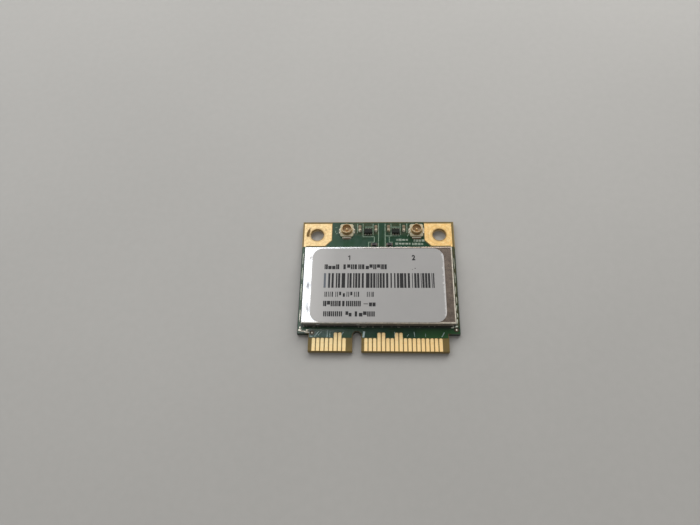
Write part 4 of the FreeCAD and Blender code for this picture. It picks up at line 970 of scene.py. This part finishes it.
class WIFI_CARD_OT_jacks(bpy.types.Operator):
    """Finish the antenna jacks and set the solder beads beside them"""

    bl_idname = "wifi_card.jacks"
    bl_label = "Antenna jacks"

    def execute(self, context):
        size = sizes()
        wide, deep, tall = size.bead_width / MM, size.bead_length / MM, size.bead_height / MM
        for number in (1, 2):
            name = f"antenna_jack_{number}"
            dress_nodes("jack_base", f"{name}_base")
            dress_nodes("jack_ring", f"{name}_ring")
            dress_nodes("pin", f"{name}_pin")
            low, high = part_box(f"{name}_solder")
            y = middle_of(f"{name}_solder")[1] / MM
            places = [(x, y, wide, deep, tall, 0)
                      for x in (low[0] / MM + wide / 2, high[0] / MM - wide / 2)]
            beads = set_beads(f"{name}_solder_beads", places, top_of("component_lands"), "solder")
            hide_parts(f"{name}_solder")
            x = middle_of(f"{name}_base")[0] / MM
            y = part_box(f"{name}_base")[0][1] / MM - FILLET_PLACE
            set_beads(f"{name}_front_fillet", [(x, y, *FILLET_SIZE, 0)],
                      top_of("solder_mask_top"), "fillet")
        return {"FINISHED"}


# The matching capacitors with bright solder, in shares of the way from jack 1 to jack 2, and the
# width, depth and height of the solder in front of each, in millimetres
MATCHING_SHARES = (0.188, 0.42, 0.819)
MATCHING_FILLET = (0.5, 0.66, 0.34)


class WIFI_CARD_OT_small_parts(bpy.types.Operator):
    """Finish the small parts at the antenna end and set their solder"""

    bl_idname = "wifi_card.small_parts"
    bl_label = "Small parts"

    def execute(self, context):
        dress_nodes("capacitor", "matching_capacitor_bodies")
        dress_nodes("resistor", "side_resistor_bodies")
        dress_nodes("tin", "matching_capacitor_ends", "component_lands")
        dress_nodes("lead", "antenna_switch_leads")
        dress_nodes("dull_lead", "side_resistor_ends")
        dress_nodes("switch", "antenna_switch_1", "antenna_switch_2")
        left, right = (middle_of(f"antenna_jack_{number}_ring")[0] / MM for number in (1, 2))
        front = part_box("matching_capacitor_ends")[0][1] / MM
        fillets = [(left + share * (right - left), front, *MATCHING_FILLET, 0)
                   for share in MATCHING_SHARES]
        set_beads("matching_capacitor_fillets", fillets, top_of("solder_mask_top"), "solder")
        return {"FINISHED"}


class WIFI_CARD_OT_silkscreen(bpy.types.Operator):
    """Print the pale lines and marks on the solder mask"""

    bl_idname = "wifi_card.silkscreen"
    bl_label = "Silkscreen"

    def execute(self, context):
        top = top_of("solder_mask_top")
        print_fields("silkscreen_lines", silk_fields(), top, "silk")
        print_fields("silkscreen_blocks", mark_fields(), top, "marks")
        print_fields("front_tracks", FRONT_TRACKS, top, "track")
        print_fields("notch_strip", NOTCH_STRIP, top, "strip")
        for name, bits, finish in (("edge_solder_bits", SOLDER_BITS, "bits"),
                                   ("corner_solder", CORNER_SOLDER, "solder")):
            beads = [(x, y, long, wide, BIT_HEIGHT * wide, turn) for x, y, long, wide, turn in bits]
            set_beads(name, beads, top, finish)
        return {"FINISHED"}


class WIFI_CARD_OT_shield(bpy.types.Operator):
    """Finish the shield, its solder seam and what it covers"""

    bl_idname = "wifi_card.shield"
    bl_label = "Shield and what it covers"

    def execute(self, context):
        dress_nodes("shield", "shield_lid", "shield_frame")
        dress_nodes("seam", "shield_solder_track")
        dress_nodes("chip", "wifi_chip", "memory_chip", "regulator", "power_amplifier_1",
                    "power_amplifier_2")
        dress_nodes("tin", "wifi_chip_terminals", "memory_chip_leads", "regulator_leads",
                    "power_inductor_terminals", "power_amplifier_heat_pads", "band_filter_ends",
                    "decoupling_capacitor_ends", "bias_resistor_ends")
        dress_nodes("capacitor", "decoupling_capacitor_bodies")
        dress_nodes("resistor", "bias_resistor_bodies")
        dress_nodes("crystal", "crystal_case", "band_filter_bodies")
        dress_nodes("shield", "crystal_cover")
        dress_nodes("core", "power_inductor")
        return {"FINISHED"}


class WIFI_CARD_OT_label(bpy.types.Operator):
    """Finish the label and print its digits, bars and plain marks"""

    bl_idname = "wifi_card.label"
    bl_label = "Label"

    def execute(self, context):
        dress_nodes("paper", "label")
        top = top_of("label")
        settle(add_digit_2(), "label_digit_2", "ink")
        for name, fields in (("digit_1", DIGIT_1), ("bars", bar_fields()),
                             ("small_print", word_fields())):
            print_fields(f"label_{name}", fields, top, "ink")
        return {"FINISHED"}


# The camera, in millimetres and degrees
CAMERA_TARGET = (-5.506, 4.889)
CAMERA_ELEVATION = 64.66
CAMERA_AZIMUTH = 6.198
CAMERA_ROLL = -5.641
CAMERA_LENS = 29.057


def camera_matrix(distance):
    """The camera's place and turn, from where it looks."""
    up = math.radians(CAMERA_ELEVATION)
    side = math.radians(CAMERA_AZIMUTH)
    roll = math.radians(CAMERA_ROLL)
    back = Vector((math.sin(side) * math.cos(up), -math.cos(side) * math.cos(up), math.sin(up)))
    right = Vector((0, 0, 1)).cross(back).normalized()
    above = back.cross(right)
    turned_right = math.cos(roll) * right + math.sin(roll) * above
    turned_above = math.cos(roll) * above - math.sin(roll) * right
    matrix = Matrix((turned_right, turned_above, back)).transposed().to_4x4()
    matrix.translation = Vector((CAMERA_TARGET[0] * MM, CAMERA_TARGET[1] * MM, 0)) + back * distance
    return matrix


def add_lamp(name, place, aim, wide, deep, power, color):
    """A soft rectangular lamp that faces a point."""
    lamp = bpy.data.lights.new(name, "AREA")
    lamp.shape = "RECTANGLE"
    lamp.size = wide
    lamp.size_y = deep
    lamp.energy = power
    lamp.color = color
    holder = bpy.data.objects.new(name, lamp)
    bpy.context.collection.objects.link(holder)
    holder.location = place
    holder.rotation_euler = (Vector(place) - Vector(aim)).to_track_quat("Z", "Y").to_euler()


# The lamps, in metres: name, place, aim, width, depth, power and colour
WARM = (1.0, 0.985, 0.965)
LAMPS = (
    ("window_lamp", (-0.65, 0.70, 0.55), (-0.65, 0.70, 0.0), 1.2, 1.1, 10.8, (1, 1, 1)),
    ("back_lamp", (0.2, 0.46, 0.3), (0, 0, 0), 0.5, 0.3, 2.3, WARM),
    ("right_lamp", (0.6, 0.2, 0.5), (0, 0, 0), 0.6, 0.8, 0.7, WARM),
    ("front_lamp", (0.1, -0.5, 0.6), (0, 0, 0), 1.0, 0.6, 1.05, WARM),
)
WORLD_COLOR = (0.14, 0.134, 0.127, 1.0)


class WIFI_CARD_OT_stage(bpy.types.Operator):
    """Set the plain floor, the soft lamps and the camera"""

    bl_idname = "wifi_card.stage"
    bl_label = "Stage"

    def execute(self, context):
        size = sizes()
        start()
        bpy.ops.mesh.primitive_plane_add(size=size.floor_width, location=(0, 0, 0))
        floor = bpy.context.object
        floor.name = "floor"
        dress(floor, "floor")
        for name, place, aim, wide, deep, power, color in LAMPS:
            add_lamp(name, place, aim, wide, deep, power, color)
        scene = context.scene
        world = bpy.data.worlds.new("studio")
        world.use_nodes = True
        world.node_tree.nodes["Background"].inputs["Color"].default_value = WORLD_COLOR
        scene.world = world
        camera = bpy.data.cameras.new("camera")
        camera.sensor_fit = "HORIZONTAL"
        camera.sensor_width = 36.0
        camera.lens = CAMERA_LENS
        camera.clip_start = 0.005
        holder = bpy.data.objects.new("camera", camera)
        bpy.context.collection.objects.link(holder)
        holder.matrix_world = camera_matrix(size.camera_distance)
        scene.camera = holder
        scene.view_settings.view_transform = "Standard"
        return {"FINISHED"}


OPERATORS = (
    WIFI_CARD_OT_board,
    WIFI_CARD_OT_gold,
    WIFI_CARD_OT_jacks,
    WIFI_CARD_OT_small_parts,
    WIFI_CARD_OT_silkscreen,
    WIFI_CARD_OT_shield,
    WIFI_CARD_OT_label,
    WIFI_CARD_OT_stage,
)


class WIFI_CARD_PT_panel(bpy.types.Panel):
    """The pieces of the card, and its sizes and colours"""

    bl_idname = "WIFI_CARD_PT_panel"
    bl_label = "Wifi Card"
    bl_space_type = "VIEW_3D"
    bl_region_type = "UI"
    bl_category = "Wifi Card"

    def draw(self, context):
        layout = self.layout
        for operator in OPERATORS:
            layout.operator(operator.bl_idname)
        for group in (context.scene.wifi_card_sizes, context.scene.wifi_card_colours):
            column = layout.column()
            for name in group.__annotations__:
                column.prop(group, name)


CLASSES = (WifiCardSizes, WifiCardColours, *OPERATORS, WIFI_CARD_PT_panel)


def register():
    for kind in CLASSES:
        bpy.utils.register_class(kind)
    bpy.types.Scene.wifi_card_sizes = bpy.props.PointerProperty(type=WifiCardSizes)
    bpy.types.Scene.wifi_card_colours = bpy.props.PointerProperty(type=WifiCardColours)


def unregister():
    del bpy.types.Scene.wifi_card_colours
    del bpy.types.Scene.wifi_card_sizes
    for kind in reversed(CLASSES):
        bpy.utils.unregister_class(kind)


def main():
    """Makes every piece in order."""
    register()
    bpy.ops.wifi_card.board()
    bpy.ops.wifi_card.gold()
    bpy.ops.wifi_card.jacks()
    bpy.ops.wifi_card.small_parts()
    bpy.ops.wifi_card.silkscreen()
    bpy.ops.wifi_card.shield()
    bpy.ops.wifi_card.label()
    bpy.ops.wifi_card.stage()


if __name__ == "__main__":
    main()
